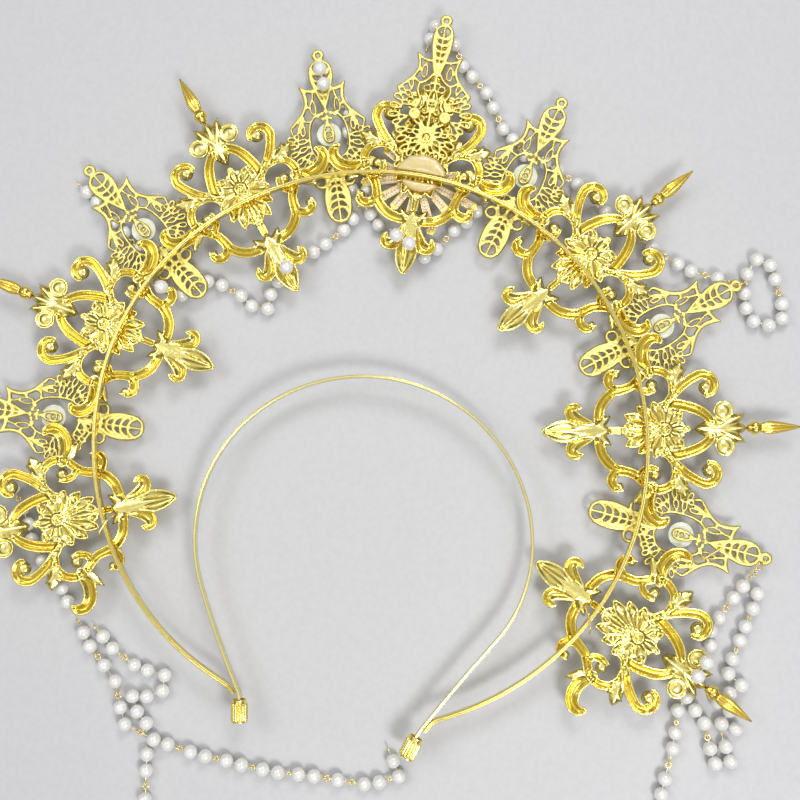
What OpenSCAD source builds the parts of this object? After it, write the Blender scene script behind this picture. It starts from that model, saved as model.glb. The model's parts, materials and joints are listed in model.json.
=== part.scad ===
// Halo crown, seen from its back: headband, halo hoop, scroll crosses, filigree plates
// and strings of pearls. The crown lies flat: +Z is its back, +Y points to the top ornament,
// and the origin is the middle of the round opening for the head. Lengths are millimetres.

/* [Headband] */
// Width of the strip, across the crown's thickness
band_height = 4; // [3:0.1:6]
// Thickness of the headband strip
band_thickness = 1.2; // [0.8:0.1:2]

/* [Halo hoop] */
// Thickness of the hoop strip
halo_thickness = 1.5; // [0.8:0.1:3]
// Width of the hoop strip
halo_height = 4; // [3:0.1:6]

/* [Ferrules] */
// Diameter of a ferrule over its flutes
ferrule_diameter = 7; // [6:0.1:10]
// Length of a ferrule
ferrule_length = 7.6; // [6:0.1:12]
// Wall of a ferrule
ferrule_wall = 0.9; // [0.5:0.1:1.5]

/* [Crosses] */
// Height of the crosses' raised rims
cross_top = -2; // [-3:0.1:-2]
// Thickness of a cross
cross_depth = 2.6; // [2:0.1:3]
// Depth of the channels in the back of a cross
channel_depth = 1.2; // [0.6:0.1:1.6]

/* [Filigree plates] */
// Top of the filigree plates
plate_top = -4.75; // [-5:0.05:-4.7]
// Thickness of the filigree plates
plate_thickness = 0.95; // [0.6:0.05:1]
// Radius of a half pearl
half_pearl_radius = 5.2; // [4:0.1:6]
// Height of a half pearl
half_pearl_height = 3.9; // [3:0.1:5]

/* [Pearls] */
// Diameter of a pearl on the strings
pearl_diameter = 5.9; // [5:0.05:6]
// Radius of the hole through a pearl
pearl_hole = 0.45; // [0.4:0.05:0.6]
// Radius of the eye pins' wire
wire_radius = 0.22; // [0.2:0.01:0.25]
// Height of the pearls' centres when they lie on the floor
string_height = -8.8; // [-9:0.1:-8.8]

/* [Hidden] */

gold = "#d9b24a";
pale_gold = "#e6d27a";
deep_gold = "#c98a1e";
pearl_white = "#ece8e4";
glue_peach = "#e8c59a";
stone_pink = "#f0d8d0";

// The point that the ornaments are set round
halo_centre = [-4.8, 44.5];

// Strips, from the top to the ends: [length, radius], a radius of 0 is straight, a negative one bends back
band_top = [0, 72.35, 0.78];
band_right = [[55, 70.7], [50, 66.9], [35, 57.2], [47.2, -811], [2.6, -15], [4.5, 0]];
band_left = [[55, 72.5], [50, 64.7], [35, 67.6], [45.1, 402], [3.5, -8], [4.5, 0]];
hoop_top = [-4.8, 159.65, 0.62];
hoop_right = [[100, 112.7], [80, 119.6], [60, 110.3], [71.4, 120.3], [5.5, -8], [2.4, 0]];
hoop_left = [[100, 119.5], [80, 108.1], [60, 124.1], [74, 109.6], [8.4, 0], [5.3, -10]];

// Ferrules: [x, y of the middle, direction of the lower end]
ferrule_left_place = [-35.4, -73.5, -78.4];
ferrule_right_place = [35.7, -74, -107.4];

// Ornaments round the hoop: [angle from the top, counter-clockwise, radius, outward direction]
crosses = [
    [114.8, 134.5, 112.2], [76.8, 124, 79.2], [37.9, 122.3, 39.9], [0.3, 123.8, 1],
    [-38.8, 123.2, -39.8], [-76.6, 123.4, -78], [-114.9, 136.1, -115.6]
];
plates = [
    [96.1, 136.2, 92.9], [57.6, 135.5, 53.6], [18.5, 135.9, 19.2], [-19.3, 133.6, -15.7],
    [-57.3, 134.1, -50.7], [-95.5, 136.1, -94.8], [0.5, 152.8, 1]
];

// Channel rows for one side of a cross: [right, outward, width]
oval_arm = [[10, -0.6, 3.4], [10.8, 4, 4], [9, 11, 4], [3.1, 18.2, 2.8]];
s_scroll = [[8.6, 0.1, 3], [16, 5.4, 3.4], [21.3, 11.5, 3.6], [22.2, 17, 3.4], [18.6, 20.6, 3]];
c_arm = [
    [15, 3.9, 2.6], [20, 3.5, 3], [24.4, 0, 3], [24.6, -6, 3.2], [20.2, -11, 3.4], [16.8, -17, 3.5],
    [13.2, -24.4, 4], [1.9, -27.6, 4]
];
bulb_leaf = [[23.5, -6.4, 4.6], [31, -8.4, 5.4], [38, -5.4, 4.8], [37.9, -2.2, 3.6]];
volute = [[17.6, -3.8, 2.6], [16.2, -8, 2.8], [18.6, -11.4, 2.6]];
hook_bulb = [[15, -19.6, 2.6], [21.6, -22.8, 3.8], [24.3, -18, 1]];
fleur_hook = [[1.9, -32.4, 3.4], [5.4, -39, 4.2], [9.2, -37.6, 2.8], [9.4, -35, 1]];
// Pointed leaves: [right, outward, radius, right of the tip, outward of the tip]
points_out = [[21.4, 5.6, 3.6, 28.6, 7.5], [26.8, -10.6, 2.5, 30.4, -14.4]];
spear = [[0, -24, 4], [0, -31, 5], [0, -40.5, 9.2], [0, -45, 8], [0, -51, 0.8]];
stem = [[0, -15, 2.8], [0, -25.5, 2.6]];
// Round ends of the scrolls: [right, outward, radius]
knobs = [[16.4, 18.6, 2.9], [18.8, -4.6, 2.4]];
// Leafy outlines, right half, from the outer tip to the inner one: [right, outward, height under the rims]
rosette = [
    [0, 10.4, 0.1], [2.1, 4.6, 1], [4.2, 8, 0.1], [5.4, 4.4, 1], [7.8, 7, 0.1], [8.4, 1.2, 1],
    [11.4, -4.4, 0.1], [8.2, -6.4, 1], [9.6, -10.6, 0.1], [6.4, -11, 1], [6.2, -16.4, 0.1],
    [3, -14, 1], [0, -17.6, 0.1]
];
trefoil = [
    [0, 34, 0.1], [3.2, 30.4, 0.9], [5.6, 32.8, 0.1], [4, 27, 0.8], [4.6, 22.2, 0.5], [3.9, 18, 0.5],
    [0, 13.4, 0.1]
];
trefoil_bowl = [7.3, 24.3, 3.8];

// Filigree outlines, right half
plate_half = [
    [0, 33], [2.4, 31.6], [4.4, 29.6], [5, 27], [4.8, 24], [4.4, 20.6], [9.8, 21.6], [9.4, 19],
    [8, 17], [8.3, 13], [10.6, 9], [14.8, 5], [16.2, 3.4], [16.5, 1], [17.6, -1.4], [17.8, -4],
    [18.5, -7.2], [17.6, -10], [15, -12.6], [11.6, -14.6], [7.6, -16.4], [4.4, -18.4], [3.2, -22],
    [4.8, -26.6], [5.6, -31], [5.4, -34.6], [4.2, -37.8], [2.2, -39.8], [0, -40.4]
];
pearl_window_half = [
    [0, 5.6], [1.8, 5], [3.6, 6.4], [5.2, 7.4], [6.6, 5], [8, 2], [8.5, -3], [8.2, -8],
    [5.4, -10.6], [0, -12.2]
];
tear_half = [[0, 8], [1.5, 4.4], [2.7, 0.6], [2.5, -1.8], [1.5, -3.6], [0, -4.4]];
lace_holes = [[12.6, 1, 1.3], [11.4, -3.6, 1.2], [15.2, -4.6, 1.1], [13, -9.4, 1.2]];
crest_half = [
    [0, 31.4], [2, 30.4], [3.8, 28.4], [4.2, 24], [4, 18], [3.2, 15], [4.4, 13.8], [9.4, 16.4], [9, 13.6],
    [8, 10.4], [9.8, 6.2], [14.8, 1], [15.8, -1.6], [15.6, -4], [18, -6.4], [17.4, -9], [19, -12],
    [17.6, -14.4], [14.6, -17], [13, -22], [11.4, -28], [10.6, -32.6], [0, -32.6]
];
crest_holes = [
    [8.8, -2.4, 1.2], [13, -3, 1.1], [15, -7.6, 1], [11.9, -8.6, 1], [15.4, -12.2, 1],
    [11.6, -13.4, 1.1], [11.2, -18.4, 1.2], [3.6, -18.6, 1]
];

// Rays of the sunburst: [angle, length]
rays = [
    [13, 24], [-18, 29], [-40, 20], [-66, 26], [-92, 19], [-119, 18], [-141, 19], [-165, 25],
    [170, 24], [148, 20], [126, 24], [100, 19], [78, 20], [50, 24]
];
sunburst_centre = [-5.9, 160.4];

// Outlines of the glue, from the hoop's middle line at the top
glue_outside = [
    [-13.5, 0.2], [-9, 8.6], [-3, 10.4], [3, 10], [7.6, 9.4], [13, 0.5], [6, 0.85], [0, 0.95], [-7, 0.7]
];
glue_inside = [[-8, -1.4], [-6.6, -4], [-2.6, -6.4], [2.4, -6.6], [7, -5], [9.4, -1.4], [0, -0.95]];

// Pearls of each string: [x, y], with the height when a pearl doesn't lie on the floor
top_right = [
    [-12.5, 223.5], [-11.5, 229.5], [-1.5, 223], [3.5, 214], [8.5, 210], [16, 204], [20, 198],
    [26, 189.5], [31, 185.5], [37.5, 179.5], [46.5, 178], [52.5, 175.5], [62, 171], [67.5, 168],
    [76, 161], [87, 155.5], [98, 149.5], [110, 144.5], [116, 142.5], [127.5, 141.5]
];
oval = [
    [139.5, 145.5], [142.5, 152.5], [148.5, 151], [151.5, 145.5], [156, 135.5], [157, 129.5],
    [152, 125.5], [145.5, 126], [141.5, 131], [140, 137], [139.5, 145.5]
];
upper_left = [[-56.5, 199, -1.6], [-53.5, 192.5, -1.6], [-45.5, 189], [-41, 183.5], [-40, 176]];
left = [[-147.5, 129], [-142, 125.5], [-133, 118], [-127.5, 114.5], [-120, 108]];
inner = [
    [-108.5, 96], [-103.5, 92.5, 1.1], [-97, 92], [-87, 100], [-80.5, 99.5], [-71.5, 96.5], [-66, 93],
    [-59, 93], [-59, 99.5], [-57, 105.5], [-53, 110.5, 1.1], [-44.5, 121], [-40, 125.5], [-33.5, 133],
    [-30.5, 138.5], [-27, 152], [-33.5, 151.5]
];
inner_right = [
    [-23.5, 142], [-19, 138], [-10, 132.5, 1.2], [-4, 130, 1.2], [3, 127.5], [7.5, 132],
    [13.5, 141.5], [18, 146], [21.5, 151.5]
];
right = [
    [159, 15.5], [156, 10], [151.5, 1], [149, -5], [150, -11], [146.5, -17, 1.1], [144, -23, 1.1],
    [143.5, -33.5], [141, -39.5], [141.5, -48.5], [141.5, -55], [140.5, -67.5], [140, -74],
    [139.5, -83.5], [139, -90]
];
right_low = [[148, -38], [152.5, -42.5], [156.5, -52], [159.5, -57.5], [165.5, -55.5], [162.5, -50]];
lower = [
    [-108, -56.5], [-104, -61.5], [-96.5, -68], [-90.5, -73.5], [-86, -83.5], [-82.7, -89.9],
    [-69.5, -93.6], [-63.4, -94.4], [-53.5, -95.5], [-47, -96], [-38, -96], [-31.5, -96.5],
    [-22.5, -96.5], [-16, -96.5], [-7.5, -95.5], [-1, -95], [9, -94.5], [20, -94], [26, -92],
    [33.5, -88], [30, -82.5]
];
lower_left = [
    [-99.5, -56.5], [-94.5, -60.5], [-84, -65.5], [-78, -66.5], [-70.5, -67], [-70, -73.5],
    [-76, -77], [-82, -78], [-78.8, -83.8], [-74, -87.7], [-71, -100], [-70, -106.5], [-68, -118],
    [-67, -124.5]
];
// Middle lines of the two strings that are kept as a tube
right_outer = [
    [165.5, 16.8], [165, 9], [163, 1], [161.5, -5], [160, -12], [159, -18], [158.8, -24.5],
    [158.6, -31.5], [160.5, -38], [164, -43.5]
];
left_behind = [
    [-155, 3], [-148, -6], [-142.5, -14], [-139, -22], [-132, -30], [-124.5, -34], [-120.5, -41],
    [-115, -48], [-112.2, -51.2]
];

pearl_radius = pearl_diameter / 2;
// From an end pearl's middle to the middle of the eye outside it
end_eye_reach = 5.2;

function place(p) = len(p) > 2 ? p : [p[0], p[1], string_height];
function unit(v) = v / norm(v);
function left_of(v) = [-v[1], v[0]];
// A neighbour on another level is taken as if it lay on this pearl's level.
function same_level(a, b) = abs(a[2] - b[2]) < 3;
function seen_from(a, b) = same_level(a, b) ? b : [b[0], b[1], a[2]];
function flip3(points) = [for (i = [len(points) - 1:-1:0]) [-points[i][0], points[i][1], points[i][2]]];
function flip(points) = [for (i = [len(points) - 1:-1:0]) [-points[i][0], points[i][1]]];
// A closed outline from its right half, whose first and last points lie on the middle line.
function whole(half) = concat(half, flip([for (i = [1:len(half) - 2]) half[i]]));

// Puts a part drawn with +Y outward at its place round the hoop.
module round_halo(row) {
    translate([halo_centre[0] + row[1] * cos(90 + row[0]), halo_centre[1] + row[1] * sin(90 + row[0]), 0])
        rotate([0, 0, row[2]])
            children();
}

// A channel along a list of rows: two rims, a valley between them and a round front's ridge.
module channel(rows, drop) {
    last = len(rows) - 1;
    points = [
        for (i = [0:last])
            let (
                a = rows[max(0, i - 1)], b = rows[min(last, i + 1)],
                side = left_of(unit([b[0] - a[0], b[1] - a[1]])), c = rows[i], w = c[2] / 2,
                dip = min(channel_depth, c[2] * 0.4)
            )
                each [
                    [c[0] + side[0] * w, c[1] + side[1] * w, cross_top - drop],
                    [c[0], c[1], cross_top - drop - dip],
                    [c[0] - side[0] * w, c[1] - side[1] * w, cross_top - drop],
                    [c[0], c[1], cross_top - cross_depth + drop]
                ]
    ];
    e = 4 * last;
    faces = concat(
        [[0, 1, 3], [1, 2, 3], [e + 1, e, e + 3], [e + 2, e + 1, e + 3]],
        [
            for (i = [0:last - 1], k = [0:3])
                let (m = 4 * i, n = (k + 1) % 4)
                    each [[m + k, m + k + 4, m + n + 4], [m + k, m + n + 4, m + n]]
        ]
    );
    polyhedron(points = points, faces = faces, convexity = 6);
}

// A leafy boss: tips at the rims, notches lower, a low middle and a smaller front.
module leafy(half, middle, dip) {
    ring = concat(half, flip3([for (i = [1:len(half) - 2]) half[i]]));
    count = len(ring);
    points = concat(
        [for (p = ring) [p[0], p[1], cross_top - p[2]]],
        [
            for (p = ring)
                [p[0] * 0.8, middle[1] + (p[1] - middle[1]) * 0.8, cross_top - cross_depth + 0.5]
        ],
        [[middle[0], middle[1], cross_top - dip], [middle[0], middle[1], cross_top - cross_depth - 0.05]]
    );
    faces = [
        for (i = [0:count - 1])
            let (j = (i + 1) % count)
                each [
                    [i, j, 2 * count],
                    [i, count + i, count + j],
                    [i, count + j, j],
                    [count + j, count + i, 2 * count + 1]
                ]
    ];
    polyhedron(points = points, faces = faces, convexity = 6);
}

// A low six-sided knob.
module knob(spot) {
    translate([spot[0], spot[1], cross_top - cross_depth + 0.2])
        hull()
            cylinder(h = cross_depth - 0.55, r1 = spot[2] * 0.5, r2 = spot[2], $fn = 5);
}

// A pointed leaf.
module point_out(row) {
    hull() {
        translate([row[0], row[1], cross_top - cross_depth + 0.3])
            cylinder(h = cross_depth - 0.6, r1 = row[2] * 0.4, r2 = row[2], $fn = 4);
        translate([row[3], row[4], cross_top - 1.1])
            cylinder(h = 0.8, r = 0.3, $fn = 3);
    }
}

// A round bowl, open at the back.
module bowl(spot) {
    translate([spot[0], spot[1], cross_top - cross_depth + 0.1])
        rotate([0, 0, 13])
            difference() {
                cylinder(h = cross_depth - 0.16, r1 = spot[2] * 0.6, r2 = spot[2], $fn = 7);
                translate([0, 0, cross_depth - 1.55])
                    cylinder(h = 2.8, r1 = spot[2] * 0.3, r2 = spot[2] * 1.25, $fn = 7);
            }
}

module cross_half() {
    channel(oval_arm, 0.02);
    channel(s_scroll, 0.05);
    channel(c_arm, 0.08);
    channel(bulb_leaf, 0.11);
    channel(volute, 0.14);
    channel(hook_bulb, 0.2);
    channel(fleur_hook, 0.23);
    for (row = points_out)
        point_out(row);
    for (spot = knobs)
        knob(spot);
    bowl(trefoil_bowl);
}

module scroll_cross(number) {
    color(gold)
        round_halo(crosses[number - 1])
            difference() {
                union() {
                    cross_half();
                    mirror([1, 0, 0])
                        cross_half();
                    leafy(rosette, [0, -3], 0.5);
                    leafy(trefoil, [0, 24], 0.9);
                    channel(spear, 0);
                    channel(stem, 0.26);
                }
                translate([0, 0, cross_top - 1])
                    cylinder(h = 2, r1 = 0.9, r2 = 1.7, $fn = 6);
            }
}

// A dart with a collar ball on the cross's outer leaf. It lies just under the crown's back.
module spike(number) {
    height = number == 4 ? -7.7 : -2.8;
    start = number == 4 ? 36.5 : 35.6;
    color(deep_gold)
        round_halo(crosses[number - 1])
            translate([0, start, height])
                rotate([-90, 0, 0]) {
                    translate([0, 0, -1.6])
                        cylinder(h = 2.4, r1 = 1.2, r2 = 1.8, $fn = 24);
                    translate([0, 0, 1.4])
                        sphere(r = 2.8, $fn = 24);
                    translate([0, 0, 3.2])
                        cylinder(h = 4.2, r1 = 1.7, r2 = 2.75, $fn = 24);
                    translate([0, 0, 7.4])
                        cylinder(h = 13.2, r1 = 2.75, r2 = 0.3, $fn = 24);
                }
}

module slot(x, y, length, width, turn) {
    translate([x, y])
        rotate(turn)
            square([width, length], center = true);
}

// Slots of a leaf, as a herringbone of pairs.
module leaf_slots(rows) {
    for (row = rows)
        for (side = [-1, 1])
            slot(side * row[0], row[1], row[2], 0.8, side * row[3]);
}

module plate_outline() {
    polygon(whole(plate_half));
    translate([0, 34.6])
        circle(r = 2.7, $fn = 32);
    for (side = [-1, 1])
        translate([side * 6, -21.4])
            circle(r = 3.2, $fn = 32);
}

module side_plate_flat() {
    difference() {
        plate_outline();
        difference() {
            polygon(whole(pearl_window_half));
            polygon(whole(tear_half));
        }
        translate([0, -1])
            circle(r = 1.1, $fn = 24);
        translate([0, 34.8])
            circle(r = 0.95, $fn = 24);
        for (side = [-1, 1]) {
            translate([side * 5.4, 12.4])
                scale([0.45, 1])
                    circle(r = 1.9, $fn = 4);
            polygon([[side * 5.2, 18], [side * 8.2, 19.8], [side * 6.8, 16.4], [side * 6.2, 16]]);
            for (hole = lace_holes)
                translate([side * hole[0], hole[1]])
                    circle(r = hole[2], $fn = 20);
            translate([side * 6.2, -21.6])
                circle(r = 1.5, $fn = 20);
        }
        leaf_slots([[1.9, 25.6, 4, -28], [2.6, -30.4, 4.4, 24]]);
    }
}

// The side plates carry a half pearl; a raised ring and beads stand on the plate.
module side_plate(number) {
    color(pale_gold)
        round_halo(plates[number - 1])
            translate([0, 0, plate_top - plate_thickness]) {
                linear_extrude(height = plate_thickness)
                    side_plate_flat();
                for (x = [-3, 0, 3])
                    translate([x, 8.6 - abs(x) * 0.25, plate_thickness - 0.2])
                        cylinder(h = 0.7, r1 = 1.3, r2 = 0.7, $fn = 20);
                translate([0, -1, plate_thickness - 0.1])
                    difference() {
                        cylinder(h = 0.5, r = 2.1, $fn = 28);
                        translate([0, 0, -0.5])
                            cylinder(h = 2, r = 1.3, $fn = 28);
                    }
            }
}

// The crest plate lies on the top cross and ends at the hoop.
module crest_plate() {
    color(pale_gold)
        round_halo(plates[6])
            translate([0, 0, cross_top + 0.1]) {
                linear_extrude(height = plate_thickness)
                    difference() {
                        union() {
                            polygon(whole(crest_half));
                            translate([0, 32.2])
                                circle(r = 2.7, $fn = 32);
                        }
                        translate([0, 32.4])
                            circle(r = 0.95, $fn = 24);
                        for (side = [-1, 1]) {
                            polygon([[side * 5, 12.6], [side * 8, 14], [side * 6.4, 10.8], [side * 5, 11.4]]);
                            for (hole = crest_holes)
                                translate([side * hole[0], hole[1]])
                                    circle(r = hole[2], $fn = 20);
                        }
                        leaf_slots([[1.7, 24, 4, -28], [2, 8, 4, 0]]);
                    }
                for (side = [-1, 1])
                    translate([side * 6.6, -10.6, plate_thickness - 0.1])
                        cylinder(h = 1.2, r1 = 2.6, r2 = 1.9, $fn = 24);
                translate([0, -0.5, plate_thickness - 0.1])
                    cylinder(h = 0.7, r1 = 2.2, r2 = 1.5, $fn = 24);
                translate([0, -20, plate_thickness - 0.1])
                    difference() {
                        cylinder(h = 0.6, r = 2.4, $fn = 28);
                        translate([0, 0, -0.5])
                            cylinder(h = 2, r = 1.4, $fn = 28);
                    }
            }
}

module half_pearl(number) {
    flat = plate_top - plate_thickness - 0.1;
    ball = (pow(half_pearl_radius, 2) + pow(half_pearl_height, 2)) / (2 * half_pearl_height);
    color(pearl_white)
        round_halo(plates[number - 1])
            translate([0, -1, flat])
                difference() {
                    translate([0, 0, ball - half_pearl_height])
                        sphere(r = ball, $fn = 48);
                    translate([-10, -10, 0])
                        cube([20, 20, 20]);
                }
}

module sunburst() {
    color(gold)
        translate([sunburst_centre[0], sunburst_centre[1], plate_top - plate_thickness])
            difference() {
                linear_extrude(height = 0.5)
                    union() {
                        circle(r = 9.5, $fn = 48);
                        for (ray = rays)
                            rotate(ray[0])
                                polygon([
                                    [6, -1.6], [ray[1] - 1.4, -1.9], [ray[1], 0], [ray[1] - 1.4, 1.9],
                                    [6, 1.6]
                                ]);
                    }
                translate([0, 0, -1])
                    cylinder(h = 3, r = 2, $fn = 24);
            }
}

// Pave strips on the rays, one slab a ray.
module sunburst_stones() {
    color(stone_pink)
        translate([sunburst_centre[0], sunburst_centre[1], plate_top - plate_thickness + 0.6])
            for (ray = rays)
                rotate(ray[0])
                    translate([10.6, 0, 0])
                        linear_extrude(height = 0.35)
                            polygon([
                                [0, -1.3], [ray[1] - 12.4, -1.5], [ray[1] - 11.6, 0], [ray[1] - 12.4, 1.5],
                                [0, 1.3]
                            ]);
}

// Glue outside and inside the hoop, over the crest plate's foot and the top cross.
module glue_pad() {
    color(glue_peach)
        translate([hoop_top[0], hoop_top[1], 0]) {
            translate([0, 0, cross_top + plate_thickness + 0.25])
                linear_extrude(height = 1.2)
                    polygon(glue_outside);
            translate([0, 0, cross_top + 0.15])
                linear_extrude(height = 1.4)
                    polygon(glue_inside);
        }
}

// A wire from point to point with a small ball at each bend.
module wire(points, radius) {
    last = len(points) - 1;
    for (i = [0:last - 1]) {
        d = unit(points[i + 1] - points[i]);
        from = points[i] + (i > 0 ? radius : 0) * d;
        to = points[i + 1] - (i < last - 1 ? radius : 0) * d;
        toward(from, to)
            cylinder(h = norm(to - from), r = radius, $fn = 16);
    }
    for (i = [1:last - 1])
        translate(points[i])
            sphere(r = radius * 1.6, $fn = 16);
}

// Wire ties over the hoop at the two lowest crosses, and a loose end beside the right one.
module tie_wires() {
    color(pale_gold) {
        round_halo(crosses[6]) {
            wire([[2.6, -24.6, -1.6], [4.4, -22.6, 2.5], [8.6, -18.6, 2.5], [10.6, -16.8, -1.3]], 0.3);
            wire([[-50, 7, -4.3], [-42, 3.4, -3.1], [-38, -0.6, -1.6], [-36.5, -4.6, -1.6]], 0.35);
        }
        round_halo(crosses[0])
            wire([[-2.6, -24.2, -1.6], [-4.4, -22, 2.5], [-8.6, -18, 2.5], [-10.6, -16.4, -1.3]], 0.3);
    }
}

// The middle of the hole in a side plate's hanging loop.
function loop_of(row) =
    let (reach = 34.8)
        [
            halo_centre[0] - row[1] * sin(row[0]) - reach * sin(row[2]),
            halo_centre[1] + row[1] * cos(row[0]) + reach * cos(row[2]),
            plate_top - plate_thickness / 2
        ];

// The ring that hangs the oval string, and four rings that hang the right-hand string.
module jump_rings() {
    oval_way = unit([4.7, 2.2, -3.6]);
    oval_ring = 2.5;
    plate_ring = 2;
    ring = 1.3;
    hole = loop_of(plates[5]);
    end = place(right[0]) + unit(place(right[0]) - place(right[1])) * end_eye_reach;
    way = unit(unit([end[0] - hole[0], end[1] - hole[1], 0]) - [0, 0, 0.3]);
    start = hole + way * 4.5;
    d = unit(end - start);
    spacing = (norm(end - start) - 1.6) / 2;
    color(pale_gold) {
        eye(loop_of(plates[4]) + oval_way * oval_ring, oval_way, oval_ring, true);
        eye(hole + way * plate_ring, way, plate_ring, true);
        for (i = [0:2])
            eye(start + d * spacing * i, d, ring, i == 1);
    }
}

// A fluted barrel, open at its lower end, with a collar that takes the headband's strip.
module ferrule(spot) {
    inner_radius = ferrule_diameter / 2 - ferrule_wall;
    color(gold)
        translate([spot[0], spot[1], 0])
            rotate([0, 0, spot[2]])
                rotate([0, 90, 0])
                    difference() {
                        union() {
                            translate([0, 0, -ferrule_length / 2])
                                cylinder(h = ferrule_length, r = ferrule_diameter / 2 - 0.35, $fn = 48);
                            for (a = [0:45:315])
                                rotate(a)
                                    translate([ferrule_diameter / 2 - 0.85, 0, -ferrule_length / 2 + 0.2])
                                        cylinder(h = ferrule_length - 0.4, r = 0.85, $fn = 20);
                            translate([0, 0, -ferrule_length / 2 - 1.5])
                                cylinder(h = 2, r = 2.95, $fn = 48);
                        }
                        translate([0, 0, -ferrule_length / 2 - 2])
                            cylinder(h = ferrule_length + 4, r = 2.5, $fn = 40);
                        translate([0, 0, -ferrule_length / 2 + 1.4])
                            cylinder(h = ferrule_length, r = inner_radius, $fn = 40);
                    }
}

// Middle line of one bend of a strip, from [x, y, heading]. The way is -1 for clockwise, 1 for the other.
function bend_rows(from, bend, way) =
    let (
        length = bend[0], r = way * bend[1], turn = bend[1] == 0 ? 0 : length / r * 180 / PI,
        steps = max(1, ceil(abs(turn) / 2.5)), h = from[2]
    )
        bend[1] == 0
            ? [[from[0] + length * cos(h), from[1] + length * sin(h), h]]
            : [
                for (k = [1:steps])
                    let (g = h + turn * k / steps)
                        [from[0] + r * (sin(g) - sin(h)), from[1] + r * (cos(h) - cos(g)), g]
            ];
function strip_rows(bends, from, way, i = 0) =
    i == len(bends)
        ? []
        : let (rows = bend_rows(from, bends[i], way))
            concat(rows, strip_rows(bends, rows[len(rows) - 1], way, i + 1));

// A strip on edge from its left end over the top to its right end.
module strip(top, left_bends, right_bends, thickness, height) {
    left_rows = strip_rows(left_bends, [top[0], top[1], top[2] + 180], 1);
    right_rows = strip_rows(right_bends, top, -1);
    rows = concat(
        [for (i = [len(left_rows) - 1:-1:0]) [left_rows[i][0], left_rows[i][1], left_rows[i][2] - 180]],
        [top],
        right_rows
    );
    last = len(rows) - 1;
    outer = [for (row = rows) [row[0] - sin(row[2]) * thickness / 2, row[1] + cos(row[2]) * thickness / 2]];
    inner = [
        for (i = [last:-1:0])
            [rows[i][0] + sin(rows[i][2]) * thickness / 2, rows[i][1] - cos(rows[i][2]) * thickness / 2]
    ];
    translate([0, 0, -height / 2])
        linear_extrude(height = height)
            polygon(concat(outer, inner));
}

module headband() {
    color(pale_gold)
        strip(band_top, band_left, band_right, band_thickness, band_height);
}

module halo_hoop() {
    color(gold)
        strip(hoop_top, hoop_left, hoop_right, halo_thickness, halo_height);
}

// Turns +Z to the direction from a to b.
module toward(a, b) {
    step = b - a;
    translate(a)
        rotate([0, acos(step[2] / norm(step)), atan2(step[1], step[0])])
            children();
}

function turned(v, t) = [v[0] * cos(t) + v[1] * sin(t), v[1] * cos(t) - v[0] * sin(t), v[2]];

// A direction as far as can be from two points, where a ball's own seam meets no hole or wire.
function seam_away(here, before, after) =
    let (
        t = atan2(after[1] - here[1], after[0] - here[0]),
        first = turned(before - here, t)
    )
        t + atan2(first[1], first[0]) / 2 + 180;

// A pearl drilled from its hollow middle toward two points. It is drawn facing the second one.
module drilled_pearl(here, before, after) {
    t = atan2(after[1] - here[1], after[0] - here[0]);
    first = turned(before - here, t);
    seam = seam_away(here, before, after) - t;
    translate(here)
        rotate([0, 0, t])
            difference() {
                rotate([0, 0, seam])
                    sphere(r = pearl_radius, $fn = 32);
                rotate([0, 0, seam])
                    sphere(r = pearl_hole * 1.8, $fn = 16);
                for (way = [first, turned(after - here, t)])
                    toward(unit(way) * 0.3, way)
                        cylinder(h = pearl_radius + 1, r = pearl_hole, $fn = 16);
            }
}

function is_closed(string) = norm(place(string[0]) - place(string[len(string) - 1])) < 1;
// The neighbours of a pearl. Past an end pearl, its pin goes straight on.
function after_pearl(string, i) =
    let (here = place(string[i]))
        i < len(string) - 1
            ? seen_from(here, place(string[i + 1]))
            : 2 * here - seen_from(here, place(string[i - 1]));
function before_pearl(string, i) =
    let (here = place(string[i]))
        i > 0
            ? seen_from(here, place(string[i - 1]))
            : is_closed(string)
                ? seen_from(here, place(string[len(string) - 2]))
                : 2 * here - after_pearl(string, 0);

module pearls(string) {
    color(pearl_white)
        for (i = [0:len(string) - (is_closed(string) ? 2 : 1)])
            drilled_pearl(place(string[i]), before_pearl(string, i), after_pearl(string, i));
}

function eye_radius(distance) = min(1.1, (distance - pearl_diameter - 2 * wire_radius - 0.25) / 3);

// One eye at a pin's end.
module eye(centre, direction, radius, upright) {
    translate(centre)
        rotate([0, 0, atan2(direction[1], direction[0])])
            rotate([0, -asin(direction[2]), 0])
                rotate([upright ? 90 : 0, 0, 0])
                    rotate_extrude($fn = 24)
                        translate([radius, 0])
                            circle(r = wire_radius * 1.2, $fn = 16);
}

// A pin's half from a pearl's middle to its eye.
module shank(from, d, length, radius, upright) {
    toward(from + d * wire_radius, from + d)
        cylinder(h = length - wire_radius, r = wire_radius, $fn = 16);
    eye(from + d * (length + radius), d, radius, upright);
}

// The eye outside an end pearl.
module end_eye(here, next) {
    shank(here, unit(here - seen_from(here, next)), end_eye_reach - 1, 1, true);
}

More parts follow.
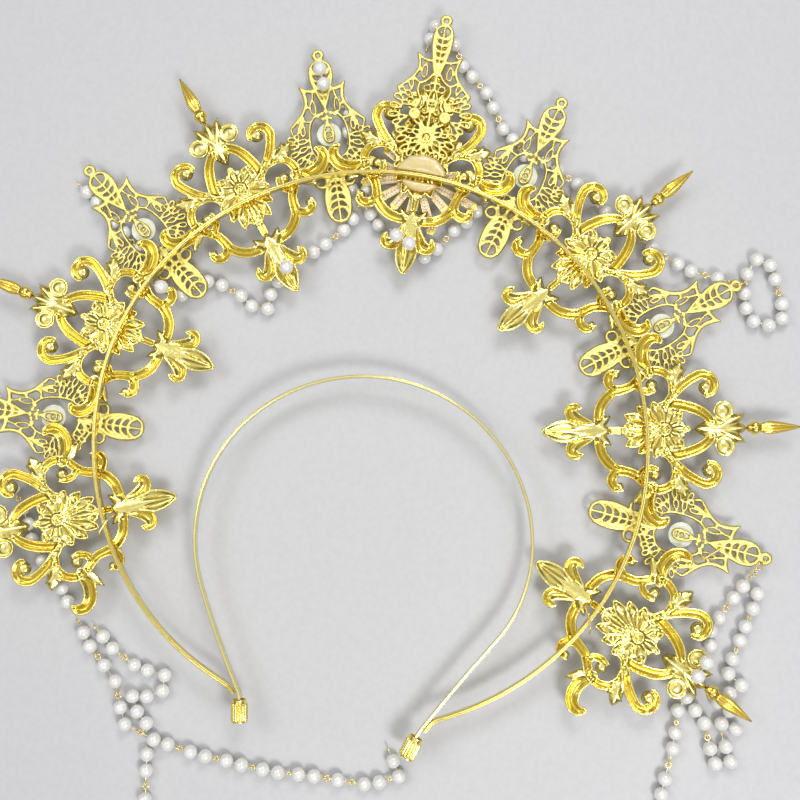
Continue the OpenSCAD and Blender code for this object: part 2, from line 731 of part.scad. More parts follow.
// Eye pins of a string: where two pearls stand apart, two eyes interlock between them.
module pins(string, first_eye = true, open_link = -1) {
    last = len(string) - 1;
    closed = is_closed(string);
    color(pale_gold) {
        for (i = [0:last - 1]) {
            a = place(string[i]);
            b = place(string[i + 1]);
            length = norm(b - a);
            d = unit(b - a);
            if (i == open_link || !same_level(a, b))
                for (pair = [[a, seen_from(a, b)], [b, seen_from(b, a)]])
                    toward(pair[0] + unit(pair[1] - pair[0]) * wire_radius, pair[1])
                        cylinder(h = pearl_radius + 0.2, r = wire_radius, $fn = 16);
            else if (length < 8.45)
                toward(a + d * wire_radius, b)
                    cylinder(h = length - 2 * wire_radius, r = wire_radius, $fn = 16);
            else {
                r = eye_radius(length);
                shank(a, d, length / 2 - 1.5 * r, r, true);
                shank(b, -d, length / 2 - 1.5 * r, r, false);
            }
        }
        for (i = [0:closed ? last - 1 : last])
            translate(place(string[i]))
                rotate([0, 0, seam_away(place(string[i]), before_pearl(string, i), after_pearl(string, i))])
                    sphere(r = wire_radius * 1.7, $fn = 16);
        if (!closed && first_eye)
            end_eye(place(string[0]), place(string[1]));
        if (!closed)
            end_eye(place(string[last]), place(string[last - 1]));
    }
}

// A string kept as one round tube along its middle line.
module tube(line, height) {
    sides = 8;
    last = len(line) - 1;
    rings = [
        for (i = [0:last])
            let (a = line[max(0, i - 1)], b = line[min(last, i + 1)], s = left_of(unit(b - a)))
                each [
                    for (k = [0:sides - 1])
                        let (t = 360 * k / sides)
                            [
                                line[i][0] + s[0] * pearl_radius * cos(t),
                                line[i][1] + s[1] * pearl_radius * cos(t),
                                height + pearl_radius * sin(t)
                            ]
                ]
    ];
    sides_faces = [
        for (i = [0:last - 1], k = [0:sides - 1])
            each [
                [i * sides + k, (i + 1) * sides + k, (i + 1) * sides + (k + 1) % sides],
                [i * sides + k, (i + 1) * sides + (k + 1) % sides, i * sides + (k + 1) % sides]
            ]
    ];
    caps = [[for (k = [0:sides - 1]) k], [for (k = [sides - 1:-1:0]) last * sides + k]];
    color(pearl_white)
        polyhedron(points = rings, faces = concat(sides_faces, caps), convexity = 6);
}

headband();
halo_hoop();
ferrule(ferrule_left_place);  // ferrule_left
ferrule(ferrule_right_place);  // ferrule_right
scroll_cross(1);  // scroll_cross_1
scroll_cross(2);  // scroll_cross_2
scroll_cross(3);  // scroll_cross_3
scroll_cross(4);  // scroll_cross_4
scroll_cross(5);  // scroll_cross_5
scroll_cross(6);  // scroll_cross_6
scroll_cross(7);  // scroll_cross_7
spike(1);  // spike_1
spike(2);  // spike_2
spike(3);  // spike_3
spike(4);  // spike_4
spike(5);  // spike_5
spike(6);  // spike_6
spike(7);  // spike_7
side_plate(1);  // filigree_1
side_plate(2);  // filigree_2
side_plate(3);  // filigree_3
side_plate(4);  // filigree_4
side_plate(5);  // filigree_5
side_plate(6);  // filigree_6
crest_plate();  // filigree_7
half_pearl(1);  // half_pearl_1
half_pearl(2);  // half_pearl_2
half_pearl(3);  // half_pearl_3
half_pearl(4);  // half_pearl_4
half_pearl(5);  // half_pearl_5
half_pearl(6);  // half_pearl_6
sunburst();
sunburst_stones();
glue_pad();
tie_wires();
jump_rings();
pearls(top_right);  // string_top_right_pearls
pins(top_right);  // string_top_right_pins
pearls(oval);  // string_oval_pearls
pins(oval);  // string_oval_pins
pearls(upper_left);  // string_upper_left_pearls
pins(upper_left);  // string_upper_left_pins
pearls(left);  // string_left_pearls
pins(left);  // string_left_pins
pearls(inner);  // string_inner_pearls
pins(inner);  // string_inner_pins
pearls(inner_right);  // string_inner_right_pearls
pins(inner_right);  // string_inner_right_pins
pearls(right);  // string_right_pearls
pins(right);  // string_right_pins
pearls(right_low);  // string_right_low_pearls
pins(right_low, false);  // string_right_low_pins
pearls(lower);  // string_lower_pearls
pins(lower);  // string_lower_pins
pearls(lower_left);  // string_lower_left_pearls
pins(lower_left, true, 9);  // string_lower_left_pins
tube(right_outer, string_height);  // string_right_outer
tube(left_behind, string_height + 1);  // string_left_behind
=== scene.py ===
"""Dresses a gilt halo crown, lying front down and seen from its back, over its fixed frame."""

import json
import math

import bmesh
import bpy
import numpy as np
from bmesh.types import BMEdge, BMFace, BMVert
from bpy.props import FloatProperty, FloatVectorProperty, PointerProperty
from mathutils import Matrix, Vector


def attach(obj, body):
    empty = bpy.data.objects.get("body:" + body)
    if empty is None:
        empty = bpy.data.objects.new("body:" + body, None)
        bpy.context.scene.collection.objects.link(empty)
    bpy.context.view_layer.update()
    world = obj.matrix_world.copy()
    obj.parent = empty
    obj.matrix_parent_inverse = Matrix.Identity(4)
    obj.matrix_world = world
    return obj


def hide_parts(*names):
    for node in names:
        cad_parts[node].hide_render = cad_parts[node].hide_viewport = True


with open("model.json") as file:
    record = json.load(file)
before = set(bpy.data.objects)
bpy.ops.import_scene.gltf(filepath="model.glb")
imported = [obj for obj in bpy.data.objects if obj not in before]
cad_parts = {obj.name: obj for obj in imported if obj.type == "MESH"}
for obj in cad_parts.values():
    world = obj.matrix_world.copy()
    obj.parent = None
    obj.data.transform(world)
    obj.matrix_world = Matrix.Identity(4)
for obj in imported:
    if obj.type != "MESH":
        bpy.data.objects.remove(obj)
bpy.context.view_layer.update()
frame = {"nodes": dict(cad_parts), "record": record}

bl_info = {
    "name": "Halo Crown",
    "version": (1, 0, 0),
    "blender": (4, 5, 0),
    "location": "3D View > Sidebar > Crown",
    "description": "Builds the castings, filigree, strips and pearls of a halo crown",
    "category": "Add Mesh",
}

MM = 0.001
FINISH = {m["slot"]: m["base_color"] for m in frame["record"]["materials"]}

# Places and heights in millimetres. The ornaments are set round the halo's centre.
HALO_CENTRE = (-4.8, 44.5)
FLOOR = -11.8
CROSS_TOP, PLATE_TOP, CREST_TOP = -2.04, -4.78, -0.98
LYING = -8.8  # middles of the pearls that lie on the floor
OUTSIDE = -99.0  # stands for the height and the distance where a pattern has no metal
# Radii of the pins' and links' wires and of the largest link, and the gap that needs no links
PIN_WIRE, LINK_WIRE, LARGEST_LINK, CLOSE_PEARLS = 0.22, 0.25, 0.95, 1.6

# Ornaments: (angle from the top, radius, outward direction)
CROSSES = [
    (114.8, 134.5, 112.2), (76.8, 124, 79.2), (37.9, 122.3, 39.9), (0.3, 123.8, 1),
    (-38.8, 123.2, -39.8), (-76.6, 123.4, -78), (-114.9, 136.1, -115.6),
]
PLATES = [
    (96.1, 136.2, 92.9), (57.6, 135.5, 53.6), (18.5, 135.9, 19.2), (-19.3, 133.6, -15.7),
    (-57.3, 134.1, -50.7), (-95.5, 136.1, -94.8),
]
CREST = (0.5, 152.8, 1)
FERRULES = {"ferrule_left": (-35.4, -73.5, -78.4), "ferrule_right": (35.7, -74, -107.4)}

# Strips: the top (x, y, heading) and bends (length, radius) to each end
BAND = (
    (0, 72.35, 0.78),
    [(55, 70.7), (50, 66.9), (35, 57.2), (47.2, -811), (2.6, -15), (4.5, 0)],
    [(55, 72.5), (50, 64.7), (35, 67.6), (45.1, 402), (3.5, -8), (4.5, 0)],
)
HOOP = (
    (-4.8, 159.65, 0.62),
    [(100, 112.7), (80, 119.6), (60, 110.3), (71.4, 120.3), (5.5, -8), (2.4, 0)],
    [(100, 119.5), (80, 108.1), (60, 124.1), (74, 109.6), (8.4, 0), (5.3, -10)],
)

# Outward place and height of a dart's foot on its cross. The top one sits under the crest.
SPIKE_FOOT, TOP_SPIKE_FOOT = (35.6, -2.8), (36.5, -7.7)
HALF_PEARL_RADIUS, HALF_PEARL_RISE, HALF_PEARL_BACK = 5.2, 3.9, -5.8
RESIN = (0.72, 0.74, 0.62)

# Gildings that no setting holds: (bright, deep), and the deep tones under the settings' colours.
# The lace's and crest's deep tones also colour the painted shade on the sides of their wires.
GILDINGS = {
    "headband": ((0.9, 0.81, 0.36), (0.46, 0.38, 0.12)),
    "halo_hoop": ((0.92, 0.77, 0.24), (0.46, 0.35, 0.07)),
    "pin": ((0.93, 0.78, 0.36), (0.55, 0.38, 0.1)),
    "tie": ((0.95, 0.78, 0.32), (0.6, 0.4, 0.08)),
    "ring": ((0.94, 0.8, 0.38), (0.55, 0.38, 0.1)),
}
DEEP = {
    "ferrule": (0.4, 0.22, 0.03), "spike": (0.58, 0.34, 0.04), "sunburst": (0.6, 0.34, 0.06),
    "lace": (0.56, 0.4, 0.06), "crest": (0.6, 0.43, 0.06),
}

# The camera: the photo's focal length and width in pixels, and its place and turn over the floor
PHOTO_FOCUS, PHOTO_WIDTH = 1000, 800
CAMERA_PLACE = (23.225, 31.722, 415.301)
CAMERA_TURN = (
    (0.98146683, -0.18646152, 0.04421486),
    (0.18947236, 0.9787648, -0.0782284),
    (-0.02868936, 0.08515608, 0.9959545),
)
# Round soft lights: (name, place and width in metres, watts)
LIGHTS = (
    ("key_light", (0.32, -0.30, 0.62), 0.24, 2.6),
    ("fill_light", (-0.45, 0.10, 0.55), 0.3, 0.8),
    ("top_light", (0.05, 0.55, 0.60), 0.3, 1.7),
)
# The studio's light, from the horizon and below it at 0 to straight above the crown at 1
STUDIO = [
    (0.0, (0.34, 0.34, 0.345, 1)), (0.4, (0.12, 0.12, 0.12, 1)), (0.84, (1, 1, 1, 1)),
    (1.0, (0.62, 0.62, 0.64, 1)),
]

# Patterns: (kind, lift, drop, strokes), a stroke being rows of (right, outward, width).
# Only the right half is given. The left half mirrors it.
CROSS_REACH = ((-42, -52), (42, 35))
CROSS_PATTERN = [
    ("channel", -0.25, 1.8, [
        [(9.4, -1.6, 3.2), (10.6, 2, 3.8), (10.3, 6, 4), (9.4, 9.8, 4), (8, 13.6, 4),
         (5.8, 17, 3.6), (3.2, 19.4, 3)],
    ]),
    ("channel", -0.1, 1.8, [
        [(10.4, 0.4, 2.4), (14.8, 3.3, 2.8), (19.2, 3.7, 3), (22.8, 1.8, 3.1), (24.6, -1.6, 3.2),
         (24.7, -5, 3.3), (23.3, -8, 3.4), (20.6, -10.8, 3.4), (18.2, -13.6, 3.5), (17, -17, 3.6),
         (16.2, -20.4, 3.8), (13.6, -23.8, 4), (10, -26.3, 4), (6, -27.2, 4), (2, -27.6, 3.8)],
        [(16.2, -18.6, 3), (18.2, -21.8, 3.6), (21, -22.9, 3.8), (23.6, -21.6, 3),
         (24.6, -18.2, 0.8)],
        [(19.6, -11.4, 2.6), (16.9, -9.6, 2.6), (16, -6.8, 2.6), (16.6, -4.2, 2.4)],
    ]),
    ("channel", 0, 1.8, [
        [(9.2, -0.4, 2.4), (12.5, 2.6, 3.2), (16.2, 5.6, 3.4), (19.2, 9, 3.5), (21.5, 12.6, 3.6),
         (22.8, 16, 3.5), (21.6, 19.6, 3.3), (18.4, 21.1, 3), (15.4, 20, 2.8), (14.2, 17.6, 2.2)],
    ]),
    ("channel", 0, 2, [
        [(23.6, -6, 4.2), (27.5, -7.9, 5), (31, -8.6, 5.4), (35, -7.9, 5.2), (37.9, -5.4, 4.8),
         (38.4, -2.4, 3.6), (36.9, -0.4, 1.4)],
    ]),
    ("dome", 0.15, 2.2, [[(17.2, 17.8, 5.8), (17.3, 17.7, 5.8)]]),
    ("dome", 0.1, 1.9, [[(18.6, -4.7, 4.9), (18.7, -4.6, 4.9)]]),
    ("dome", 0, 1.3, [[(23.1, -19.4, 3), (23.2, -19.3, 3)]]),
    ("ridge", 0, 1.3, [
        [(21.2, 5.2, 5.4), (24.8, 6.5, 5.2), (28.8, 7.5, 0.3)],
        [(22.4, 5.4, 3), (24.4, 8, 2.4), (24.9, 9.8, 0.4)],
        [(22.8, 5, 3), (24.4, 3.8, 2), (25.4, 2.9, 0.4)],
    ]),
    ("ridge", 0, 1.2, [[(25.2, -9, 4.6), (28, -11.8, 3.4), (30.6, -14.6, 0.3)]]),
    ("ridge", 0, 1.2, [[(2.6, -26.4, 4), (4.4, -24.6, 3), (6.2, -22.4, 0.4)]]),
    ("channel", 0, 1.7, [
        [(2, -31, 4.4), (4, -35, 5), (6.4, -38.3, 5.4), (9, -38.7, 4.4), (10.3, -36.8, 2.6),
         (9.5, -34.2, 0.5)],
    ]),
    ("channel", 0, 1.4, [
        [(0, -28.5, 4.6), (0, -31, 5.2), (0, -36, 7.2), (0, -41, 9.3), (0, -44.6, 8), (0, -48, 4.5),
         (0, -51.2, 0.4)],
    ]),
    ("dome", 0.05, 1.7, [
        [(0, -24.4, 3.4), (0, -27, 6.4), (0, -30.4, 7.6), (0, -34.2, 5.4), (0, -38.4, 3.4),
         (0, -44, 2), (0, -49, 0.6)],
    ]),
    ("channel", -0.3, 1.2, [[(0, -16, 2.8), (0, -24, 2.6)]]),
    ("channel", 0, 2.1, [[(7.25, 24.3, 8), (7.35, 24.4, 8)]]),
    ("dome", 0.15, 2, [[(7.2, 24.3, 6.4), (7.3, 24.4, 6.4)]]),
    ("ridge", -0.1, 1.8, [
        [(0, 13.4, 1.6), (0, 16, 5), (0, 19, 7.4), (0, 23, 8.6), (0, 27, 7)],
        [(0, 24, 5.2), (0, 28, 6), (0, 31, 4.2), (0, 34.1, 0.4)],
    ]),
    ("ridge", 0, 1.7, [[(0.6, 23, 4), (3.6, 28.6, 4.2), (4.7, 31, 2.6), (5.8, 33.2, 0.3)]]),
    ("channel", -0.7, 1.3, [
        [(0, 4, 10), (0, -3, 15), (0, -9, 13), (0, -13.4, 8)],
        [(5, 1, 8), (6.4, -4.6, 6)],
    ]),
    ("channel", 0, 1.3, [[(0, 2.4, 1.8), (0, 6.6, 4.4), (0, 10.7, 0.3)]]),
    ("channel", -0.1, 1.3, [[(1.9, 1.8, 1.8), (4.7, 4.6, 5), (7.8, 7.6, 0.3)]]),
    ("channel", -0.1, 1.1, [[(2.4, 0.4, 1.6), (6.4, 1.6, 3), (9, 1.9, 0.3)]]),
    ("channel", 0, 1.4, [[(2.4, -0.9, 2), (7.4, -3, 5.6), (11.7, -4.8, 0.3)]]),
    ("channel", -0.05, 1.4, [[(2, -2.4, 2), (6.4, -7.4, 5.4), (9.8, -11.4, 0.3)]]),
    ("channel", 0, 1.4, [[(1, -3.4, 2), (4.2, -11.2, 5.2), (6.4, -16.9, 0.3)]]),
    ("channel", 0.1, 1.3, [[(0, -3.4, 2), (0, -10.8, 4.2), (0, -17.4, 0.4)]]),
]
BOSS_RADIUS = 2.15

LACE_FULLNESS = 1.12  # how much wider the struck wires are than the drawn ones
RIB_WIRE = 1.6
PLATE_REACH = ((-19.5, -41), (19.5, 38))
PLATE_WIRES = [
    [(0, 32.6, 1.6), (3.4, 30.4, 1.5), (4.6, 27, 1.5), (4.3, 23.4, 1.5), (3.2, 19.4, 1.5),
     (1.6, 15, 1.5), (0, 11, 1.4)],
    [(0, 32, 1.1), (0, 10.6, 1.2)],
    [(4.2, 19, 1.8), (6.4, 19.3, 1.8), (8.4, 20.2, 1.5), (9.8, 21.4, 0.9)],
    [(9.8, 21.4, 0.9), (8.4, 18.6, 1.8), (8, 15, 1.8), (8.7, 12, 1.7), (10.7, 8.8, 1.7),
     (14.8, 4.8, 1.6)],
    [(4.4, 19, 1.2), (4.9, 16.4, 1.1), (5.2, 15.4, 1.1)],
    [(6.8, 11.4, 1.2), (8.2, 13.4, 1.1)],
    [(3.4, 8.4, 1.3), (5.2, 7.6, 1.3), (7.2, 4.8, 1.2), (8.2, 1.4, 1.2), (8.5, -3, 1.2),
     (8.1, -7.4, 1.2), (6.2, -10.4, 1.25), (3, -12, 1.25), (0, -12.4, 1.3)],
    [(7.2, 5.6, 1.2), (9.4, 6, 1.2), (10.8, 8.6, 1.2)],
    [(14.8, 4.8, 1.3), (16, 3.4, 1.15), (15.6, 1.2, 1.1)],
    [(10.2, 7.8, 1.2), (12.8, 3.4, 1), (13.4, 0.8, 0.9)],
    [(9.8, -14.8, 1.2), (7, -16.4, 1.2), (4.6, -18, 1.5), (2.8, -21, 1.5)],
    [(0, -12, 2), (0, -22, 2)],
    [(0, -13, 1.2), (3.4, -15.4, 1.1), (4.6, -18.4, 1.1)],
    [(0, -20.4, 1.6), (3.4, -23.4, 1.5), (4.8, -27.4, 1.5), (5, -32, 1.5), (4.4, -36, 1.5),
     (2.6, -38.9, 1.5), (0, -39.8, 1.5)],
    [(0, -21, 1.2), (0, -39.4, 1.2)],
]
# Ribs of the leaves: (outward at the vein, right and outward half way, and both at the rim)
PLATE_RIBS = [
    (25.8, 2.4, 26.6, 4.2, 29.2), (22.8, 2.6, 23.6, 4.5, 26.4), (19.8, 2.4, 20.6, 4.2, 23.2),
    (16.8, 1.8, 17.6, 3.4, 20), (-23.6, 2, -24.6, 3.8, -27.6), (-26.8, 2.4, -27.8, 4.6, -31),
    (-30, 2.6, -31, 4.8, -34.2), (-33.2, 2.4, -34.2, 4.2, -37),
]
# Rings of the lace: (right, outward, radius of the wire's middle, wire)
PLATE_RINGS = [
    (0, 34.7, 1.8, 1.75), (6.1, -21.6, 2.35, 1.5), (0, -1, 1.45, 0.75), (13.9, -0.3, 0.9, 0.8),
]
# Teardrop loops: (right, outward, half width, half length, way of the round end, wire)
PLATE_LOOPS = [
    (5.3, 12, 1.5, 3.3, -90, 0.9), (0, -0.1, 2.6, 4.3, -90, 1.05), (16.0, -1.2, 1.2, 2.1, 18, 1.05),
    (15.9, -4.4, 1.25, 2.3, 0, 1.05), (15.5, -7.8, 1.25, 2.3, -20, 1.05),
    (13.6, -10.8, 1.25, 2.3, -40, 1.05), (10.8, -13, 1.2, 2.1, -55, 1.05),
    (7.7, -14.7, 1.15, 1.9, -65, 1.05), (10.9, 2.4, 1.15, 2.7, -85, 1),
    (11.4, -2.6, 1.25, 2.3, -5, 1), (11.4, -6.1, 1.25, 2.3, -22, 1), (10, -9.3, 1.15, 2.1, -42, 1),
    (7.3, -11.9, 1.05, 1.7, -58, 1), (4.6, -14, 1.05, 1.6, -70, 1), (1.9, -16, 1, 1.9, -80, 1),
]
# Beads: (right, outward, width)
PLATE_BEADS = [
    (0, 9.4, 2.2), (1.9, 8.5, 2), (3.7, 7.5, 1.9), (0, 6.9, 2.1), (1.8, 6, 1.8), (0, 4.8, 1.8),
    (0, -1, 1.1), (0, 2.6, 1), (8.2, 18.9, 0.9),
]
CREST_REACH = ((-20, -33.5), (20, 36))
CREST_WIRES = [
    [(0, 30.6, 1.6), (2.9, 28.6, 1.4), (3.8, 25, 1.4), (3.7, 20.5, 1.4), (2.9, 16, 1.4),
     (1.8, 11, 1.4), (0.6, 7.4, 1.2)],
    [(0, 30, 1.1), (0, 6, 1.2)],
    [(3, 13.6, 1.4), (6.4, 14.2, 1.2), (9.4, 16.3, 1)],
    [(9.4, 16.3, 1), (8.3, 13.4, 1.4), (7.9, 10.2, 1.5), (9.6, 6.2, 1.5), (14, 1.4, 1.5)],
    [(14, 1.4, 1.5), (14.6, 0, 1.2)],
    [(8.8, -27.6, 1.3), (8.2, -32, 1.3)],
    [(1.6, 8, 1.3), (3.4, 5.4, 1.3), (6.6, 3.6, 1.3), (9.8, 5.8, 1.3)],
    [(6.6, 3.6, 1.3), (7, 0, 1.3), (5.2, -4, 1.3), (6.4, -7.4, 1.2)],
    [(0, 6, 1.4), (0, 1.6, 1.2)],
    [(0, -7.6, 1.4), (0, -17.6, 1.4)],
    [(0, -16, 1.3), (3.6, -15, 1.3), (6.4, -13.4, 1.3)],
    [(0, -31.9, 1.6), (8.6, -31.9, 1.6)],
    [(0, -27.4, 1.2), (0, -31.9, 1.3)],
]
CREST_RIBS = [
    (24, 2, 24.8, 3.4, 27.2), (21, 2, 21.8, 3.7, 24.2), (18, 2, 18.8, 3.5, 21.2),
    (15, 1.6, 15.8, 3, 18), (12, 1.4, 12.8, 2.4, 14.8),
]
CREST_RINGS = [
    (0, 32.3, 1.8, 1.75), (0, -19.8, 2, 1.1), (0, -4.4, 1.3, 0.8), (2.6, -8.6, 1.1, 0.8),
    (3.2, 1.6, 1.4, 0.8), (8.6, -15.2, 1, 0.8), (3.2, -12.2, 1.1, 0.8), (13, -17.4, 0.9, 0.8),
]
CREST_LOOPS = [
    (5.4, 9.2, 1.5, 3.2, -90, 0.9), (0, -3, 2.7, 4.6, -90, 1.15), (13.6, -0.8, 1.3, 2.2, 42, 1.15),
    (14.2, -4.3, 1.35, 2.4, 25, 1.15), (15.1, -8, 1.4, 2.6, 8, 1.15),
    (15.3, -11.9, 1.4, 2.6, -10, 1.15), (13.4, -15, 1.2, 2.1, -28, 1.1),
    (11, -18.2, 1.5, 2.3, -20, 1.15), (10.2, -22, 1.6, 2.4, -30, 1.15),
    (8.2, -25.8, 1.6, 2.5, -48, 1.15), (10.2, 2.4, 1.2, 2.3, 78, 1.05),
    (10.1, -2.4, 1.2, 2.2, 40, 1.05), (11, -6.2, 1.2, 1.9, 15, 1.05),
    (11.3, -12.6, 1.1, 1.9, -15, 1.05), (7.2, -5.6, 1, 1.9, -60, 1),
    (2.4, -15.9, 1.2, 2.1, 60, 1.05), (4.3, -18.4, 1.3, 2.2, 18, 1.05),
    (4.4, -21.8, 1.3, 2.3, -25, 1.05), (2.5, -24.5, 1.25, 2.3, -62, 1.05),
    (0, -25.3, 1.2, 2.5, -90, 1.05), (5.6, -27.2, 1.3, 2.2, -66, 1.05),
    (7.2, -18.3, 1, 1.7, 5, 0.9), (7, -22, 1, 1.6, -25, 0.9), (2.6, -29.4, 1.2, 1.7, -85, 1.05),
]
CREST_BEADS = [
    (0, -4.4, 1), (0, 5.4, 2), (1.7, 4, 1.6), (0, -13.8, 2), (0, -10.4, 1.8), (0, -17, 1.6),
]
CREST_CUP = (6.6, -10.6)

# Turned pieces: (height, radius, depth of the flutes). A dart, from its collar to its tip
DART = [
    (-1.6, 1.2, 0), (-1.5, 1.6, 0), (-1, 1.75, 0), (-0.5, 1.85, 0.05), (-0.1, 2.35, 0.12),
    (0.6, 2.8, 0.16), (1.4, 2.95, 0.18), (2.2, 2.8, 0.16), (2.8, 2.32, 0.1), (3.1, 1.9, 0.05),
    (3.25, 1.75, 0.1), (4.2, 2.0, 0.35), (5.6, 2.45, 0.55), (7.4, 2.8, 0.7), (9, 2.72, 0.7),
    (11.5, 2.35, 0.6), (14, 1.85, 0.45), (16.5, 1.3, 0.3), (18.8, 0.75, 0.15), (20.2, 0.36, 0),
    (20.6, 0.14, 0),
]
# A ferrule, up its outside and down its bore
BARREL = [
    (-5.3, 2.72, 0), (-5.15, 2.92, 0), (-4.2, 2.95, 0), (-4.0, 2.8, 0), (-3.85, 2.85, 0),
    (-3.75, 3.2, 0.1), (-3.45, 3.46, 0.42), (-2.8, 3.5, 0.5), (2.5, 3.5, 0.5), (2.95, 3.44, 0.4),
    (3.15, 3.26, 0.12), (3.3, 3.3, 0), (3.45, 3.46, 0), (3.72, 3.46, 0), (3.8, 3.3, 0),
    (3.8, 2.95, 0), (3.65, 2.66, 0), (-2.2, 2.62, 0), (-2.4, 2.52, 0), (-5.1, 2.5, 0),
    (-5.3, 2.56, 0),
]

# The sunburst: its middle, its rays as (angle, length) and the steps of its disc as (lift, shrink)
SUNBURST = (-5.9, 160.4)
RAYS = [
    (13, 24), (-18, 29), (-40, 20), (-66, 26), (-92, 19), (-119, 18), (-141, 19), (-165, 25),
    (170, 24), (148, 20), (126, 24), (100, 19), (78, 20), (50, 24),
]
TRAY_START, TRAY_BASE, TRAY_RISE = 5.4, -5.68, 0.8
STONE_START, STONE_STEP, STONE_SIDE, STONE_HEIGHT = 7, 1.32, 0.72, -4.98
DISC_RADIUS, DISC_BASE = 9.4, -5.66
DISC_STEPS = ((0.36, 1.0), (0.1, 0.94), (-0.12, 0.9), (0.0, 0.25), (-0.34, 1.0))

# Glue outside and inside the hoop: (top, strokes), from the hoop's middle line at its top
GLUE_REACH = ((-14, -8), (14, 12))
GLUE = [
    (0.36, [
        [(-9.6, 2.6, 2.6), (-6, 4.2, 5.2), (0, 5.4, 7.6), (6, 4.4, 5.6), (9.4, 2.4, 2.4)],
        [(-8, 2.4, 2), (8, 2.4, 2)],
        [(-5.6, 6, 4.6), (0, 7, 5.4), (5, 6.4, 4.4)],
    ]),
    (-0.48, [[(-5.8, -2.9, 2), (-2.4, -3.9, 4.2), (2.4, -3.9, 4.2), (6.4, -2.9, 2.4)]]),
]

# Pearls of each string: (x, y), with the height when a pearl doesn't lie on the floor
STRINGS = {
    "top_right": [
        (-12.5, 223.5), (-11.5, 229.5), (-1.5, 223), (3.5, 214), (8.5, 210), (16, 204), (20, 198),
        (26, 189.5), (31, 185.5), (37.5, 179.5), (46.5, 178), (52.5, 175.5), (62, 171), (67.5, 168),
        (76, 161), (87, 155.5), (98, 149.5), (110, 144.5), (116, 142.5), (127.5, 141.5),
    ],
    "oval": [
        (139.5, 145.5), (142.5, 152.5), (148.5, 151), (151.5, 145.5), (156, 135.5), (157, 129.5),
        (152, 125.5), (145.5, 126), (141.5, 131), (140, 137),
    ],
    "upper_left": [
        (-56.5, 199, -1.6), (-53.5, 192.5, -1.6), (-45.5, 189), (-41, 183.5), (-40, 176),
    ],
    "left": [(-147.5, 129), (-142, 125.5), (-133, 118), (-127.5, 114.5), (-120, 108)],
    "inner": [
        (-108.5, 96), (-103.5, 92.5, 1.1), (-97, 92), (-87, 100), (-80.5, 99.5), (-71.5, 96.5),
        (-66, 93), (-59, 93), (-59, 99.5), (-57, 105.5), (-53, 110.5, 1.1), (-44.5, 121),
        (-40, 125.5), (-33.5, 133), (-30.5, 138.5), (-27, 152), (-33.5, 151.5),
    ],
    "inner_right": [
        (-23.5, 142), (-19, 138), (-10, 132.5, 1.2), (-4, 130, 1.2), (3, 127.5), (7.5, 132),
        (13.5, 141.5), (18, 146), (21.5, 151.5),
    ],
    "right": [
        (159, 15.5), (156, 10), (151.5, 1), (149, -5), (150, -11), (146.5, -17, 1.1),
        (144, -23, 1.1), (143.5, -33.5), (141, -39.5), (141.5, -48.5), (141.5, -55), (140.5, -67.5),
        (140, -74), (139.5, -83.5), (139, -90),
    ],
    "right_low": [
        (148, -38), (152.5, -42.5), (156.5, -52), (159.5, -57.5), (165.5, -55.5), (162.5, -50),
    ],
    "lower": [
        (-108, -56.5), (-104, -61.5), (-96.5, -68), (-90.5, -73.5), (-86, -83.5), (-82.7, -89.9),
        (-69.5, -93.6), (-63.4, -94.4), (-53.5, -95.5), (-47, -96), (-38, -96), (-31.5, -96.5),
        (-22.5, -96.5), (-16, -96.5), (-7.5, -95.5), (-1, -95), (9, -94.5), (20, -94), (26, -92),
        (33.5, -88), (30, -82.5),
    ],
    "lower_left": [
        (-99.5, -56.5), (-94.5, -60.5), (-84, -65.5), (-78, -66.5), (-70.5, -67), (-70, -73.5),
        (-76, -77), (-82, -78), (-78.8, -83.8), (-74, -87.7), (-71, -100), (-70, -106.5),
        (-68, -118), (-67, -124.5),
    ],
}
# The strings whose links are made here too: (height, pearls)
LINKED = {
    "right_outer": (LYING, [
        (165.3, 13.6), (164.4, 7.2), (162.7, -0.6), (161.3, -6.6), (159.6, -14.6), (158.8, -20.8),
        (164.9, -24.4), (160.6, -28.6), (156.4, -33), (161.8, -35.4), (159.4, -41.2),
        (165.4, -42.2),
    ]),
    "left_behind": (LYING + 0.6, [
        (-154.8, 2.2), (-150.6, -2.6), (-144.6, -10.6), (-140.9, -16.4), (-138, -22.6),
        (-131.4, -30.4), (-125.6, -32.8), (-120.9, -40), (-117.2, -45.2),
    ]),
}


# --- shader helpers ---


class Value:
    """A number in a material. Python's signs on it add Math nodes."""

    def __init__(self, shade, socket):
        self.shade, self.socket = shade, socket

    def math(self, operation, first, second):
        made = self.shade.node("ShaderNodeMath", {"operation": operation}, {0: first, 1: second})
        return Value(self.shade, made.outputs[0])

    def __add__(self, other):
        return self.math("ADD", self, other)

    def __sub__(self, other):
        return self.math("SUBTRACT", self, other)

    def __rsub__(self, other):
        return self.math("SUBTRACT", other, self)

    def __mul__(self, other):
        return self.math("MULTIPLY", self, other)

    __radd__ = __add__
    __rmul__ = __mul__

    def above(self, low, high):
        """0 under low, 1 over high and smooth between them."""
        sockets = {"Value": self, "From Min": low, "From Max": high}
        made = self.shade.node("ShaderNodeMapRange", {"interpolation_type": "SMOOTHSTEP"}, sockets)
        return Value(self.shade, made.outputs["Result"])


